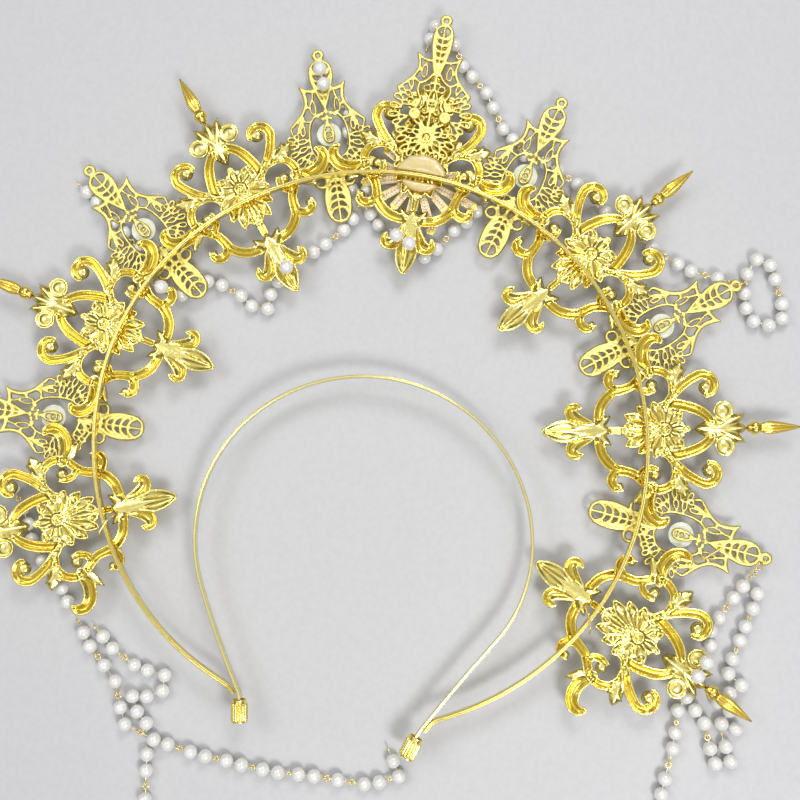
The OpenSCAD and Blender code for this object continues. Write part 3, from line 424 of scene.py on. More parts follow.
class Shade:
    """The nodes of a material or of the world, under construction."""

    def __init__(self, owner):
        owner.use_nodes = True
        self.owner, self.tree = owner, owner.node_tree
        self.tree.nodes.clear()
        self.place = self.node("ShaderNodeTexCoord").outputs

    def node(self, kind, settings=None, sockets=None):
        """A node of a type, its settings made first, then its sockets set or linked."""
        made = self.tree.nodes.new(kind)
        for key, setting in (settings or {}).items():
            if key == "stops":
                ramp = made.color_ramp.elements
                while len(ramp) < len(setting):
                    ramp.new(0.5)
                for stop, (where, colour) in zip(ramp, setting):
                    stop.position, stop.color = where, colour
            else:
                setattr(made, key, setting)
        for key, value in (sockets or {}).items():
            if isinstance(value, Value):
                value = value.socket
            if isinstance(value, bpy.types.NodeSocket):
                self.tree.links.new(value, made.inputs[key])
            else:
                made.inputs[key].default_value = value
        return made

    def noise(self, grain, detail, rough=0.55):
        """Clouds about grain millimetres across."""
        sockets = {"Scale": 1 / (grain * MM), "Detail": detail, "Roughness": rough}
        made = self.node("ShaderNodeTexNoise", None, {"Vector": self.place["Object"], **sockets})
        return Value(self, made.outputs["Fac"])

    def attribute(self, name):
        """A number that the piece's own points carry."""
        made = self.node("ShaderNodeAttribute", {"attribute_name": name})
        return Value(self, made.outputs["Fac"])

    def mix(self, share, first, second):
        """One colour passing into another."""
        sockets = {0: share}
        for key, colour in ((6, first), (7, second)):
            sockets[key] = colour if isinstance(colour, bpy.types.NodeSocket) else (*colour, 1)
        return self.node("ShaderNodeMix", {"data_type": "RGBA"}, sockets).outputs[2]

    def bump(self, height, depth):
        """The normals of a height of 0 to 1 that stands depth millimetres tall."""
        sockets = {"Height": height, "Distance": depth * MM}
        return self.node("ShaderNodeBump", None, sockets).outputs["Normal"]

    def surface(self, **sockets):
        """Closes the material with its surface shader."""
        named = {key.replace("_", " "): value for key, value in sockets.items()}
        shader = self.node("ShaderNodeBsdfPrincipled", None, named)
        self.node("ShaderNodeOutputMaterial", None, {"Surface": shader.outputs["BSDF"]})
        return self.owner


def new_finish(name):
    return Shade(bpy.data.materials.new(name))


def tint(colour, share):
    """A colour made lighter or darker, as a whole or by its red, green and blue."""
    shares = share if isinstance(share, tuple) else (share,) * 3
    return tuple(min(1.0, c * s) for c, s in zip(colour, shares))


def gilt(name, bright, deep, rough, grain, hollow=False):
    """Gilding with cloudy polish and fine pits. On a piece with hollows, painted shade darkens the
    hollows towards the deep colour, so what stands up is brighter.
    """
    shade = new_finish(name)
    clouds = shade.noise(6, 4)
    fine = shade.noise(0.8, 3)
    pits = shade.noise(0.35, 2).above(0.66, 0.74)
    depth = clouds.above(0.35, 0.75) * 0.3
    if hollow:
        # Painted shade: the deeper a point lies in its relief, the more its colour goes to the deep
        # colour
        depth = depth * 0.6 + shade.attribute("hollow") * 0.8 + (fine - 0.5) * 0.25
    colour = shade.mix(depth.above(0.0, 1.0), bright, deep)
    return shade.surface(
        Base_Color=shade.mix(pits * 0.35, colour, tint(deep, 0.6)),
        Metallic=1.0,
        Roughness=rough + clouds * 0.12 + fine * 0.06 - 0.08,
        Normal=shade.bump(fine * 0.6 + clouds * 0.8 + pits * -0.4, grain),
    )


def satin_filigree(name, bright, deep):
    """Pale satin gilding with a fine grain, with painted shade that darkens it down the sides of
    the wires and where wires meet.
    """
    shade = new_finish(name)
    clouds = shade.noise(5, 3)
    grain = shade.noise(0.28, 2, 0.7)
    # Painted shade: the lower a point lies below the wires' tops, the darker it is; the clouds and
    # grain add real tone
    depth = shade.attribute("hollow") * 0.75 + clouds.above(0.4, 0.8) * 0.3 + grain * 0.15
    return shade.surface(
        Base_Color=shade.mix(depth.above(0.05, 1.0), bright, deep),
        Metallic=1.0,
        Roughness=0.3 + grain * 0.16 + clouds * 0.08,
        Normal=shade.bump(grain, 0.05),
    )


def pearl_coat(name, colour):
    """Imitation pearl: a white body with faint clouds of grey and cream, under a clear coat."""
    shade = new_finish(name)
    clouds = shade.noise(3.5, 3)
    specks = shade.noise(0.5, 2)
    cream = tint(tint(colour, (1, 0.97, 0.93)), 0.9)
    body = shade.mix(clouds.above(0.3, 0.75), colour, cream)
    return shade.surface(
        Base_Color=shade.mix(specks.above(0.62, 0.8) * 0.12, body, (0.95, 0.93, 0.92)),
        Metallic=0.0,
        Roughness=0.16 + clouds * 0.08,
        Specular_IOR_Level=0.8,
        Coat_Weight=1.0,
        Coat_Roughness=0.05,
        Subsurface_Weight=0.15,
        Subsurface_Radius=(0.55, 0.55, 0.5),
        Subsurface_Scale=MM,
        Normal=shade.bump(specks, 0.008),
    )


def milky_back(name, colour):
    """The flat back of a half pearl: cloudy resin with yellowish clouds."""
    shade = new_finish(name)
    clouds = shade.noise(2.2, 3)
    scratch = shade.noise(0.4, 3, 0.7)
    yellowish = tint(tint(colour, (1, 0.99, 0.86)), 0.86)
    return shade.surface(
        Base_Color=shade.mix(clouds.above(0.3, 0.7), colour, yellowish),
        Roughness=0.3 + scratch * 0.25,
        Coat_Weight=0.3,
        Subsurface_Weight=0.3,
        Subsurface_Radius=(1, 0.9, 0.7),
        Subsurface_Scale=1.2 * MM,
        Normal=shade.bump(scratch, 0.04),
    )


def cured_glue(name, colour):
    """Peach-coloured glue with yellow clouds and small bubbles."""
    shade = new_finish(name)
    clouds = shade.noise(3, 3)
    bubbles = shade.noise(0.6, 2)
    body = shade.mix(clouds.above(0.35, 0.75) * 0.8, colour, (0.95, 0.74, 0.24))
    return shade.surface(
        Base_Color=shade.mix(bubbles.above(0.62, 0.7) * 0.3, body, (1.0, 0.87, 0.56)),
        Roughness=0.12 + clouds * 0.12,
        Coat_Weight=0.5,
        Transmission_Weight=0.35,
        Subsurface_Weight=0.2,
        Subsurface_Radius=(1, 0.7, 0.4),
        Subsurface_Scale=1.5 * MM,
        Normal=shade.bump(clouds + bubbles * 0.3, 0.3),
    )


def small_stones(name, colour):
    """Small clear stones with a pinkish cast that differs from stone to stone."""
    shade = new_finish(name)
    patches = shade.noise(1.6, 1)
    return shade.surface(
        Base_Color=shade.mix(patches.above(0.38, 0.62), colour, (0.96, 0.7, 0.6)),
        Roughness=0.05 + patches * 0.1,
        Specular_IOR_Level=0.9,
        Coat_Weight=0.6,
    )


def pale_floor(name, colour):
    """A plain pale table top with a faint grain."""
    shade = new_finish(name)
    grain = shade.noise(2.5, 4)
    return shade.surface(
        Base_Color=shade.mix(grain.above(0.35, 0.7), colour, tint(colour, 0.96)),
        Roughness=0.62 + grain * 0.1,
        Normal=shade.bump(grain, 0.05),
    )


# --- mesh helpers ---


def only(kind, geometry):
    """What is of one kind, vertices or edges, in a bmesh operator's result."""
    return [part for part in geometry if isinstance(part, kind)]


def edges_of(verts):
    return list({edge for vert in verts for edge in vert.link_edges})


def at(x, y, z=0):
    return Matrix.Translation((x, y, z))


def about(axis, degrees):
    return Matrix.Rotation(math.radians(degrees), 4, axis)


def round_halo(row):
    """The place of an ornament on the hoop."""
    angle = math.radians(row[0])
    x = HALO_CENTRE[0] - row[1] * math.sin(angle)
    y = HALO_CENTRE[1] + row[1] * math.cos(angle)
    return at(x, y) @ about("Z", row[2])


def close_up(bm, sharp):
    """Merges doubles, points the faces outward and marks the edges sharper than some degrees."""
    bmesh.ops.remove_doubles(bm, verts=bm.verts, dist=0.002)
    bmesh.ops.recalc_face_normals(bm, faces=bm.faces)
    for face in bm.faces:
        face.smooth = True
    for edge in bm.edges:
        if len(edge.link_faces) == 2 and edge.calc_face_angle(0.0) > math.radians(sharp):
            edge.smooth = False


def mesh_of(bm, name, material):
    """A mesh in metres from a bmesh in millimetres."""
    mesh = bpy.data.meshes.new(name)
    bm.to_mesh(mesh)
    bm.free()
    mesh.transform(Matrix.Scale(MM, 4))
    mesh.materials.append(material)
    return mesh


def add_piece(mesh, name, slot, *nodes):
    """Puts a mesh into the scene as a piece that stands for CAD nodes."""
    piece = bpy.data.objects.new(name, mesh)
    bpy.context.scene.collection.objects.link(piece)
    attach(piece, "root")
    if nodes:
        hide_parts(*nodes)
    return piece


def add_shape(bm, material, name, slot, *nodes):
    """Puts a bmesh in millimetres into the scene as a piece."""
    return add_piece(mesh_of(bm, name, material), name, slot, *nodes)


def give_wall(piece, thickness):
    """Gives a stamped sheet its wall, below its back."""
    wall = piece.modifiers.new("Wall", "SOLIDIFY")
    wall.thickness = thickness
    wall.offset = -1
    wall.use_even_offset = False


def set_sheets(bm, material, slot, wall, settings):
    """Sets a stamped sheet with its wall at places round the halo: (piece, CAD node, place)."""
    sheet = mesh_of(bm, "sheet", material)
    for name, node, row in settings:
        mesh = sheet.copy()
        place = round_halo(row)
        place.translation *= MM
        mesh.transform(place)
        give_wall(add_piece(mesh, name, slot, node), wall)
    bpy.data.meshes.remove(sheet)


def dress(node, material):
    """Gives a CAD node that stays in view its own finish."""
    mesh = frame["nodes"][node].data
    mesh.materials.clear()
    mesh.materials.append(material)


def curve_through(rows):
    """Rows on a smooth curve through the given ones, five for each."""
    points = np.array(rows, float)
    if len(points) < 3:
        return points
    ends = np.vstack([2 * points[0] - points[1], points, 2 * points[-1] - points[-2]])
    made = []
    for a, b, c, d in zip(ends, ends[1:], ends[2:], ends[3:]):
        for t in np.arange(5) / 5:
            made.append(0.5 * (2 * b + (c - a) * t + (2 * a - 5 * b + 4 * c - d) * t**2
                               + (3 * b - a - 3 * c + d) * t**3))
    made = np.array([*made, points[-1]])
    made[:, 2] = np.maximum(made[:, 2], 0.25)
    return made


def ring_rows(x, y, radius, width):
    """A stroke that runs round and closes."""
    turn = np.linspace(0, 2 * math.pi, 21)
    widths = np.full(len(turn), width)
    return np.stack([x + radius * np.sin(turn), y + radius * np.cos(turn), widths], 1)


def tear_rows(x, y, across, along, way, width):
    """A closed teardrop whose round end points the given way, in degrees."""
    turn = np.linspace(0, 2 * math.pi, 25)
    narrow = np.clip(0.5 - 0.5 * np.cos(turn), 0, 1) ** 0.75
    side = across * np.sin(turn) * (0.35 + 0.65 * narrow)
    reach = -along * np.cos(turn)
    c, s = math.cos(math.radians(way)), math.sin(math.radians(way))
    widths = np.full(len(turn), width)
    return np.stack([x + reach * c - side * s, y + reach * s + side * c, widths], 1)


def inside(strokes, x, y):
    """How far inside strokes points lie, in millimetres and as a share of half the width."""
    edge, share = np.full(x.shape, OUTSIDE), np.full(x.shape, OUTSIDE)
    for rows in strokes:
        for (ax, ay, aw), (bx, by, bw) in zip(rows[:-1], rows[1:]):
            dx, dy = bx - ax, by - ay
            t = np.clip(((x - ax) * dx + (y - ay) * dy) / max(dx * dx + dy * dy, 1e-9), 0, 1)
            half = (aw + (bw - aw) * t) / 2
            e = half - np.hypot(x - ax - dx * t, y - ay - dy * t)
            edge = np.maximum(edge, e)
            share = np.maximum(share, e / half)
    return edge, share


def relief_at(pattern, x, y):
    """How far inside a pattern points lie, and how far its back is over or under the top there."""
    x = np.abs(x)
    edge, height = np.full(x.shape, OUTSIDE), np.full(x.shape, OUTSIDE)
    for kind, lift, drop, strokes in pattern:
        e, share = inside(strokes, x, y)
        share = np.clip(share, 0, 1)
        if kind == "channel":
            s = np.clip((share - 0.1) / 0.9, 0, 1)
            z = lift - drop * s * (2 - s)
        elif kind == "ridge":
            z = lift - drop * (1 - share)
        else:
            z = lift - drop * (1 - np.sqrt(1 - (1 - share) ** 2))
        edge = np.maximum(edge, e)
        height = np.where(e > -0.02, np.maximum(height, z), height)
    return edge, height


def smooth_pattern(pattern):
    """The pattern with its strokes made smooth curves."""
    return [(kind, lift, drop, [curve_through(rows) for rows in strokes])
            for kind, lift, drop, strokes in pattern]


def lace_pattern(wires, ribs, rings, loops, beads):
    """A filigree pattern from its wires, ribs, rings, teardrop loops and beads."""
    wires = wires + [
        [(0, vein, RIB_WIRE), (half_x, half_y, RIB_WIRE), (rim_x, rim_y, RIB_WIRE)]
        for vein, half_x, half_y, rim_x, rim_y in ribs
    ]
    strokes = [curve_through(rows) for rows in wires]
    strokes += [ring_rows(*row) for row in rings]
    strokes += [tear_rows(*row) for row in loops]
    full = [[(x, y, width * LACE_FULLNESS) for x, y, width in rows] for rows in strokes]
    dots = [[(x, y, width), (x + 0.01, y, width)] for x, y, width in beads]
    return [("wire", -0.05, 0.8, full), ("wire", 0.0, 0.45, dots)]


def spots_of(verts):
    """The places of vertices as arrays of x and y."""
    return np.array([vert.co[:2] for vert in verts]).T


def snap_rim(pattern, rim, cell):
    """Moves the vertices of a sheet's rim onto the pattern's outline."""
    x, y = spots_of(rim)
    step, most = 0.05, 0.7 * cell
    for _ in range(2):
        edge = relief_at(pattern, x, y)[0]
        slope_x = (relief_at(pattern, x + step, y)[0] - edge) / step
        slope_y = (relief_at(pattern, x, y + step)[0] - edge) / step
        way = np.clip(edge / np.maximum(slope_x**2 + slope_y**2, 0.3), -most, most)
        x, y = x - way * slope_x, y - way * slope_y
    for vert, *spot in zip(rim, x, y):
        vert.co.x, vert.co.y = spot


def stamped_sheet(pattern, reach, cell, top, polish=(0.35,)):
    """An openwork sheet: a grid cut to a pattern's outline, raised to its relief and polished."""
    bm = bmesh.new()
    (left, low), (right, high) = reach
    middle = at((left + right) / 2, (low + high) / 2)
    bmesh.ops.create_grid(
        bm,
        x_segments=round((right - left) / cell),
        y_segments=round((high - low) / cell),
        size=0.5,
        matrix=middle @ Matrix.Diagonal((right - left, high - low, 1, 1)),
    )
    edge, _height = relief_at(pattern, *spots_of(bm.verts))
    # Vertices just outside stay, and are then drawn in to the outline
    outside = [vert for vert, e in zip(bm.verts, edge) if e < -0.45 * cell]
    bmesh.ops.delete(bm, geom=outside, context="VERTS")
    loose = [vert for vert in bm.verts if not vert.link_faces]
    bmesh.ops.delete(bm, geom=loose, context="VERTS")
    snap_rim(pattern, [vert for vert in bm.verts if vert.is_boundary], cell)
    inner = [vert for vert in bm.verts if not vert.is_boundary]
    bmesh.ops.smooth_vert(bm, verts=inner, factor=0.25, use_axis_x=True, use_axis_y=True)

    # Each point keeps how deep it lies in the relief, from 0 to 1, which the finishes paint as
    # shade
    hollow = bm.verts.layers.float.new("hollow")
    _edge, height = relief_at(pattern, *spots_of(bm.verts))
    known = height > OUTSIDE / 2
    height = np.where(known, height, np.median(height[known]))
    for vert, z, deep in zip(bm.verts, height, height / height.min()):
        vert.co.z = top + z
        vert[hollow] = min(1.0, max(0.0, deep))
    bm.normal_update()
    inner = [vert for vert in bm.verts if not vert.is_boundary]
    for share in polish:
        bmesh.ops.smooth_vert(bm, verts=inner, factor=share, use_axis_z=True)
    for face in bm.faces:
        face.smooth = True
        if face.normal.z < 0:
            face.normal_flip()
    return bm


def spin_strip(bm, route, profile):
    """A strip of the given section, spun bend by bend from its top to both ends."""
    (x, y, heading), *sides = route
    h = math.radians(heading)
    start = [bm.verts.new((x - n * math.sin(h), y + n * math.cos(h), z)) for n, z in profile]
    first = [bm.edges.new((a, b)) for a, b in zip(start, start[1:] + start[:1])]
    for bends, way, turn in zip(sides, (-1, 1), (h, h + math.pi)):
        here, edges = Vector((x, y, 0)), first
        for length, radius in bends:
            if radius:
                angle = way * length / radius
                centre = here + Vector((-math.sin(turn), math.cos(turn), 0)) * way * radius
                steps = max(2, math.ceil(abs(math.degrees(angle)) / 1.6))
                made = bmesh.ops.spin(
                    bm, geom=edges, cent=centre, axis=(0, 0, 1), dvec=(0, 0, 0), angle=angle,
                    steps=steps, use_merge=False, use_duplicate=False,
                )["geom_last"]
                turn += angle
                here = centre - Vector((-math.sin(turn), math.cos(turn), 0)) * way * radius
            else:
                step = Vector((math.cos(turn), math.sin(turn), 0)) * length
                made = bmesh.ops.extrude_edge_only(bm, edges=edges)["geom"]
                bmesh.ops.translate(bm, vec=step, verts=only(BMVert, made))
                here = here + step
            edges = only(BMEdge, made)
        bmesh.ops.contextual_create(bm, geom=edges)


def extrude_ring(bm, edges):
    """The vertices and edges of a ring extruded from a ring of edges."""
    grown = bmesh.ops.extrude_edge_only(bm, edges=edges)["geom"]
    ring = only(BMVert, grown)
    return ring, [edge for edge in only(BMEdge, grown) if all(v in ring for v in edge.verts)]


def turned(bm, rows, sides, lobes, matrix, closed=False):
    """A turned or fluted piece: rings of (height, radius, depth of the flutes) along +Z."""
    ring = bmesh.ops.create_circle(bm, cap_ends=False, segments=sides, radius=1.0)["verts"]
    first = edges = edges_of(ring)
    made = []
    for height, radius, flute in rows:
        if made:
            ring, edges = extrude_ring(bm, edges)
        made += ring
        for vert in ring:
            angle = math.atan2(vert.co.y, vert.co.x)
            r = radius - flute * (1 - abs(math.cos(lobes * angle / 2)) ** 0.7)
            vert.co = Vector((r * math.cos(angle), r * math.sin(angle), height))
    if closed:
        bmesh.ops.bridge_loops(bm, edges=first + edges)
    else:
        for loop in (first, edges):
            bmesh.ops.contextual_create(bm, geom=loop)
    bmesh.ops.transform(bm, matrix=matrix, verts=made)


def add_ring(bm, centre, turn, radius, wire):
    """A wire ring about the turned Z axis."""
    matrix = at(*centre) @ turn.to_4x4() @ at(radius, 0)
    bar = bmesh.ops.create_circle(
        bm, cap_ends=False, segments=8, radius=wire, matrix=matrix @ about("X", 90)
    )["verts"]
    bmesh.ops.spin(
        bm, geom=edges_of(bar), cent=centre, axis=turn @ Vector((0, 0, 1)), dvec=(0, 0, 0),
        angle=2 * math.pi, steps=18, use_merge=True, use_duplicate=False,
    )


def add_wire(bm, start, end, radius):
    """A straight wire from point to point."""
    way = end - start
    turn = way.to_track_quat("Z", "Y").to_matrix().to_4x4()
    bmesh.ops.create_cone(
        bm, cap_ends=True, segments=8, radius1=radius, radius2=radius, depth=way.length,
        matrix=at(*(start + end) / 2) @ turn,
    )


def add_pearl(bm, spot, radius):
    """A pearl at (x, y) on the floor or at (x, y, height), turned by its own amount."""
    height = spot[2] if len(spot) > 2 else LYING
    bmesh.ops.create_uvsphere(
        bm, u_segments=24, v_segments=14, radius=radius,
        matrix=at(*spot[:2], height) @ Matrix.Rotation(spot[0], 4, "X"),
    )


def add_links(bm, start, end, radius):
    """What joins two pearls: two pins whose rings interlock, or one pin where they lie close."""
    length = (end - start).length
    way, gap = (end - start).normalized(), length - 2 * radius
    if gap < CLOSE_PEARLS:
        add_wire(bm, start, end, PIN_WIRE)
        return
    size = min(LARGEST_LINK, gap / 3.2)
    for origin, side, upright in ((start, way, True), (end, -way, False)):
        stop = length / 2 - 1.5 * size
        add_wire(bm, origin, origin + side * stop, PIN_WIRE)
        turn = side.to_track_quat("X", "Z").to_matrix()
        if upright:
            turn = turn @ about("X", 90).to_3x3()
        add_ring(bm, origin + side * (stop + size), turn, size, LINK_WIRE)


# --- settings ---


class CrownSizes(bpy.types.PropertyGroup):
    """Sizes of the crown's own pieces."""

    pearl: FloatProperty(
        name="Pearl", description="Diameter of a pearl", default=5.9 * MM, unit="LENGTH"
    )
    band_thickness: FloatProperty(
        name="Headband", description="Thickness of its strip", default=1.2 * MM, unit="LENGTH"
    )
    hoop_thickness: FloatProperty(
        name="Hoop", description="Thickness of its strip", default=1.5 * MM, unit="LENGTH"
    )
    strip_height: FloatProperty(
        name="Strip width", description="Width of both strips", default=4 * MM, unit="LENGTH"
    )
    cast_cell: FloatProperty(
        name="Cross grid", description="Cell of their relief", default=0.45 * MM, unit="LENGTH"
    )
    lace_cell: FloatProperty(
        name="Lace grid", description="Cell of its relief", default=0.33 * MM, unit="LENGTH"
    )
    cast_wall: FloatProperty(
        name="Cross wall", description="Metal of the crosses", default=0.5 * MM, unit="LENGTH"
    )
    lace_wall: FloatProperty(
        name="Lace wall", description="Metal of the lace", default=0.35 * MM, unit="LENGTH"
    )


class CrownColours(bpy.types.PropertyGroup):
    """Colours of the crown and of what it lies on."""

    gold: FloatVectorProperty(
        name="Gold", description="Bright gilding", subtype="COLOR", default=(0.96, 0.82, 0.27)
    )
    # The amber is painted shade in the crosses' hollows, and also their cloudy tone and pits
    amber_shade_and_tone: FloatVectorProperty(
        name="Amber", description="Gilding in hollows", subtype="COLOR", default=(0.64, 0.48, 0.07)
    )
    lemon: FloatVectorProperty(
        name="Lemon", description="Satin gilding", subtype="COLOR", default=(0.96, 0.85, 0.28)
    )
    spike: FloatVectorProperty(
        name="Spike", description="Darts' gilding", subtype="COLOR", default=(0.95, 0.71, 0.15)
    )
    pearl: FloatVectorProperty(
        name="Pearl", description="Body of the pearls", subtype="COLOR", default=(0.87, 0.87, 0.85)
    )
    glue: FloatVectorProperty(
        name="Glue", description="Glue at the top", subtype="COLOR", default=(0.98, 0.79, 0.42)
    )
    stone: FloatVectorProperty(
        name="Stone", description="Pave stones", subtype="COLOR", default=tuple(FINISH["stone"])
    )
    floor: FloatVectorProperty(
        name="Floor", description="Table top", subtype="COLOR", default=(0.55, 0.55, 0.56)
    )


# --- operators ---


class CrownStep(bpy.types.Operator):
    """A step of the crown's making."""

    bl_options = {"REGISTER", "UNDO"}

    @property
    def sizes(self):
        return bpy.context.scene.crown_sizes

    @property
    def colours(self):
        return bpy.context.scene.crown_colours


class CROWN_OT_stage(CrownStep):
    """Lays the floor and sets the lights and the camera"""

    bl_idname = "crown.stage"
    bl_label = "Stage"

    def execute(self, context):
        scene = context.scene
        bm = bmesh.new()
        bmesh.ops.create_grid(bm, x_segments=4, y_segments=4, size=9000, matrix=at(0, 0, FLOOR))
        mesh = mesh_of(bm, "floor", pale_floor("floor_top", self.colours.floor))
        floor = bpy.data.objects.new("floor", mesh)
        scene.collection.objects.link(floor)

        scene.world = bpy.data.worlds.new("studio")
        sky = Shade(scene.world)
        parts = sky.node("ShaderNodeSeparateXYZ", None, {0: sky.place["Generated"]})
        ramp = sky.node("ShaderNodeValToRGB", {"stops": STUDIO}, {"Fac": parts.outputs["Z"]})
        glow = sky.node("ShaderNodeBackground", None, {"Color": ramp.outputs["Color"]})
        sky.node("ShaderNodeOutputWorld", None, {"Surface": glow.outputs[0]})
        scene.view_settings.view_transform = "Standard"

        for name, spot, size, power in LIGHTS:
            lamp = bpy.data.lights.new(name, "AREA")
            lamp.shape = "DISK"
            lamp.size = size
            lamp.energy = power
            light = bpy.data.objects.new(name, lamp)
            light.location = spot
            way = Vector((0, 0.05, 0)) - Vector(spot)
            light.rotation_euler = way.to_track_quat("-Z", "Y").to_euler()
            scene.collection.objects.link(light)

        lens = bpy.data.cameras.new("camera")
        lens.sensor_fit = "HORIZONTAL"
        lens.sensor_width = 36
        lens.lens = PHOTO_FOCUS / PHOTO_WIDTH * 36
        lens.clip_start = 0.01
        camera = bpy.data.objects.new("camera", lens)
        camera.matrix_world = at(*Vector(CAMERA_PLACE) * MM) @ Matrix(CAMERA_TURN).to_4x4()
        scene.collection.objects.link(camera)
        scene.camera = camera
        return {"FINISHED"}


class CROWN_OT_strips(CrownStep):
    """Makes the headband and the halo hoop, thin strips on edge"""

    bl_idname = "crown.strips"
    bl_label = "Strips"

    def execute(self, context):
        tall = self.sizes.strip_height / MM / 2
        for name, route, thickness, groove, slot in (
            ("headband", BAND, self.sizes.band_thickness, 0.0, "pale_gold"),
            ("halo_hoop", HOOP, self.sizes.hoop_thickness, 0.12, "gold"),
        ):
            half = thickness / MM / 2
            # The section: rounded rims, and the hoop's groove along its upper edge
            right = [(half, 0), (half, tall - 0.28), (half - 0.1, tall - 0.08), (half - 0.3, tall),
                     (0.22, tall - 0.02), (0.1, tall - 0.05 - groove)]
            left = [(-n, z) for n, z in reversed(right)]
            under = [(-half, -tall + 0.25), (-half + 0.22, -tall), (half - 0.22, -tall),
                     (half, -tall + 0.25)]
            bm = bmesh.new()
            spin_strip(bm, route, right + left + under)
            close_up(bm, 50)
            material = gilt(name + "_gilding", *GILDINGS[name], 0.22, 0.015)
            add_shape(bm, material, name + "_strip", slot, name)
        return {"FINISHED"}


class CROWN_OT_ferrules(CrownStep):
    """Makes the fluted barrels that hold the ends of both strips"""

    bl_idname = "crown.ferrules"
    bl_label = "Ferrules"

    def execute(self, context):
        material = gilt("ferrule_gilding", self.colours.gold, DEEP["ferrule"], 0.2, 0.05)
        for name, (x, y, way) in FERRULES.items():
            bm = bmesh.new()
            turned(bm, BARREL, 96, 16, at(x, y) @ about("Z", way) @ about("Y", 90), closed=True)
            close_up(bm, 42)
            add_shape(bm, material, name + "_barrel", "gold", name)
        return {"FINISHED"}


class CROWN_OT_crosses(CrownStep):
    """Stamps the seven scroll crosses"""

    bl_idname = "crown.crosses"
    bl_label = "Scroll crosses"

    def execute(self, context):
        pattern = smooth_pattern(CROSS_PATTERN)
        pattern.append(("dome", 0.3, 1.1, [ring_rows(0, 0, BOSS_RADIUS, 1.5)]))
        pattern.append(("dome", 0.05, 0.9, [[(0, 0, 2), (0.05, 0, 2)]]))
        cell = self.sizes.cast_cell / MM
        bm = stamped_sheet(pattern, CROSS_REACH, cell, CROSS_TOP, polish=(0.45, 0.45))
        # The crosses' hollows are painted in shade, darkened towards the amber
        colours = self.colours.gold, self.colours.amber_shade_and_tone
        material = gilt("cross_gilding", *colours, 0.17, 0.06, hollow=True)
        rows = [(f"cross_{n}", f"scroll_cross_{n}", row) for n, row in enumerate(CROSSES, 1)]
        set_sheets(bm, material, "gold", self.sizes.cast_wall, rows)
        return {"FINISHED"}


class CROWN_OT_spikes(CrownStep):
    """Turns the darts with their collar balls and fluted blades"""

    bl_idname = "crown.spikes"
    bl_label = "Spikes"

    def execute(self, context):
        material = gilt("spike_gilding", self.colours.spike, DEEP["spike"], 0.18, 0.05)
        for number, row in enumerate(CROSSES, 1):
            foot = at(0, *(TOP_SPIKE_FOOT if number == 4 else SPIKE_FOOT))
            bm = bmesh.new()
            turned(bm, DART, 64, 8, round_halo(row) @ foot @ about("X", -90))
            close_up(bm, 60)
            add_shape(bm, material, f"dart_{number}", "deep_gold", f"spike_{number}")
        return {"FINISHED"}


class CROWN_OT_filigree(CrownStep):
    """Draws the six side plates of wire lace"""

    bl_idname = "crown.filigree"
    bl_label = "Filigree plates"

    def execute(self, context):
        pattern = lace_pattern(PLATE_WIRES, PLATE_RIBS, PLATE_RINGS, PLATE_LOOPS, PLATE_BEADS)
        bm = stamped_sheet(pattern, PLATE_REACH, self.sizes.lace_cell / MM, PLATE_TOP)
        material = satin_filigree("filigree_gilding", self.colours.lemon, DEEP["lace"])
        rows = [(f"lace_{n}", f"filigree_{n}", row) for n, row in enumerate(PLATES, 1)]
        set_sheets(bm, material, "pale_gold", self.sizes.lace_wall, rows)
        return {"FINISHED"}


class CROWN_OT_crest(CrownStep):
    """Draws the crest plate over the top cross, with its two cups"""

    bl_idname = "crown.crest"
    bl_label = "Crest plate"

    def execute(self, context):
        pattern = lace_pattern(CREST_WIRES, CREST_RIBS, CREST_RINGS, CREST_LOOPS, CREST_BEADS)
        x, y = CREST_CUP
        pattern.append(("wire", 0.85, 0.5, [ring_rows(x, y, 2.1, 0.9)]))
        pattern.append(("dome", 0.95, 1.9, [[(x, y, 4.2), (x + 0.01, y, 4.2)]]))
        bm = stamped_sheet(pattern, CREST_REACH, self.sizes.lace_cell / MM, CREST_TOP)
        material = satin_filigree("crest_gilding", self.colours.lemon, DEEP["crest"])
        rows = [("crest_lace", "filigree_7", CREST)]
        set_sheets(bm, material, "pale_gold", self.sizes.lace_wall, rows)
        return {"FINISHED"}


class CROWN_OT_half_pearls(CrownStep):
    """Makes the half pearls that are glued into the side plates"""

    bl_idname = "crown.half_pearls"
    bl_label = "Half pearls"

    def execute(self, context):
        material = milky_back("half_pearl_resin", RESIN)
        rise = HALF_PEARL_RISE
        ball = (HALF_PEARL_RADIUS**2 + rise**2) / (2 * rise)
        for number, row in enumerate(PLATES, 1):
            bm = bmesh.new()
            middle = at(0, 0, ball - rise)
            bmesh.ops.create_uvsphere(bm, u_segments=64, v_segments=48, radius=ball, matrix=middle)
            cut = bmesh.ops.bisect_plane(
                bm, geom=bm.verts[:] + bm.edges[:] + bm.faces[:], plane_co=(0, 0, 0),
                plane_no=(0, 0, 1), clear_outer=True,
            )["geom_cut"]
            back = bmesh.ops.contextual_create(bm, geom=only(BMEdge, cut))["faces"]
            # The back has a flat rim, a step down and a middle that comes up a little
            for inset, sunk in ((0.35, 0.0), (0.25, -0.18), (1.6, 0.06)):
                bmesh.ops.inset_region(bm, faces=back, thickness=inset, depth=sunk)
            place = round_halo(row) @ at(0, -1, HALF_PEARL_BACK)
            bmesh.ops.transform(bm, matrix=place, verts=bm.verts)
            close_up(bm, 40)
            add_shape(bm, material, f"resin_half_{number}", "pearl", f"half_pearl_{number}")
        return {"FINISHED"}


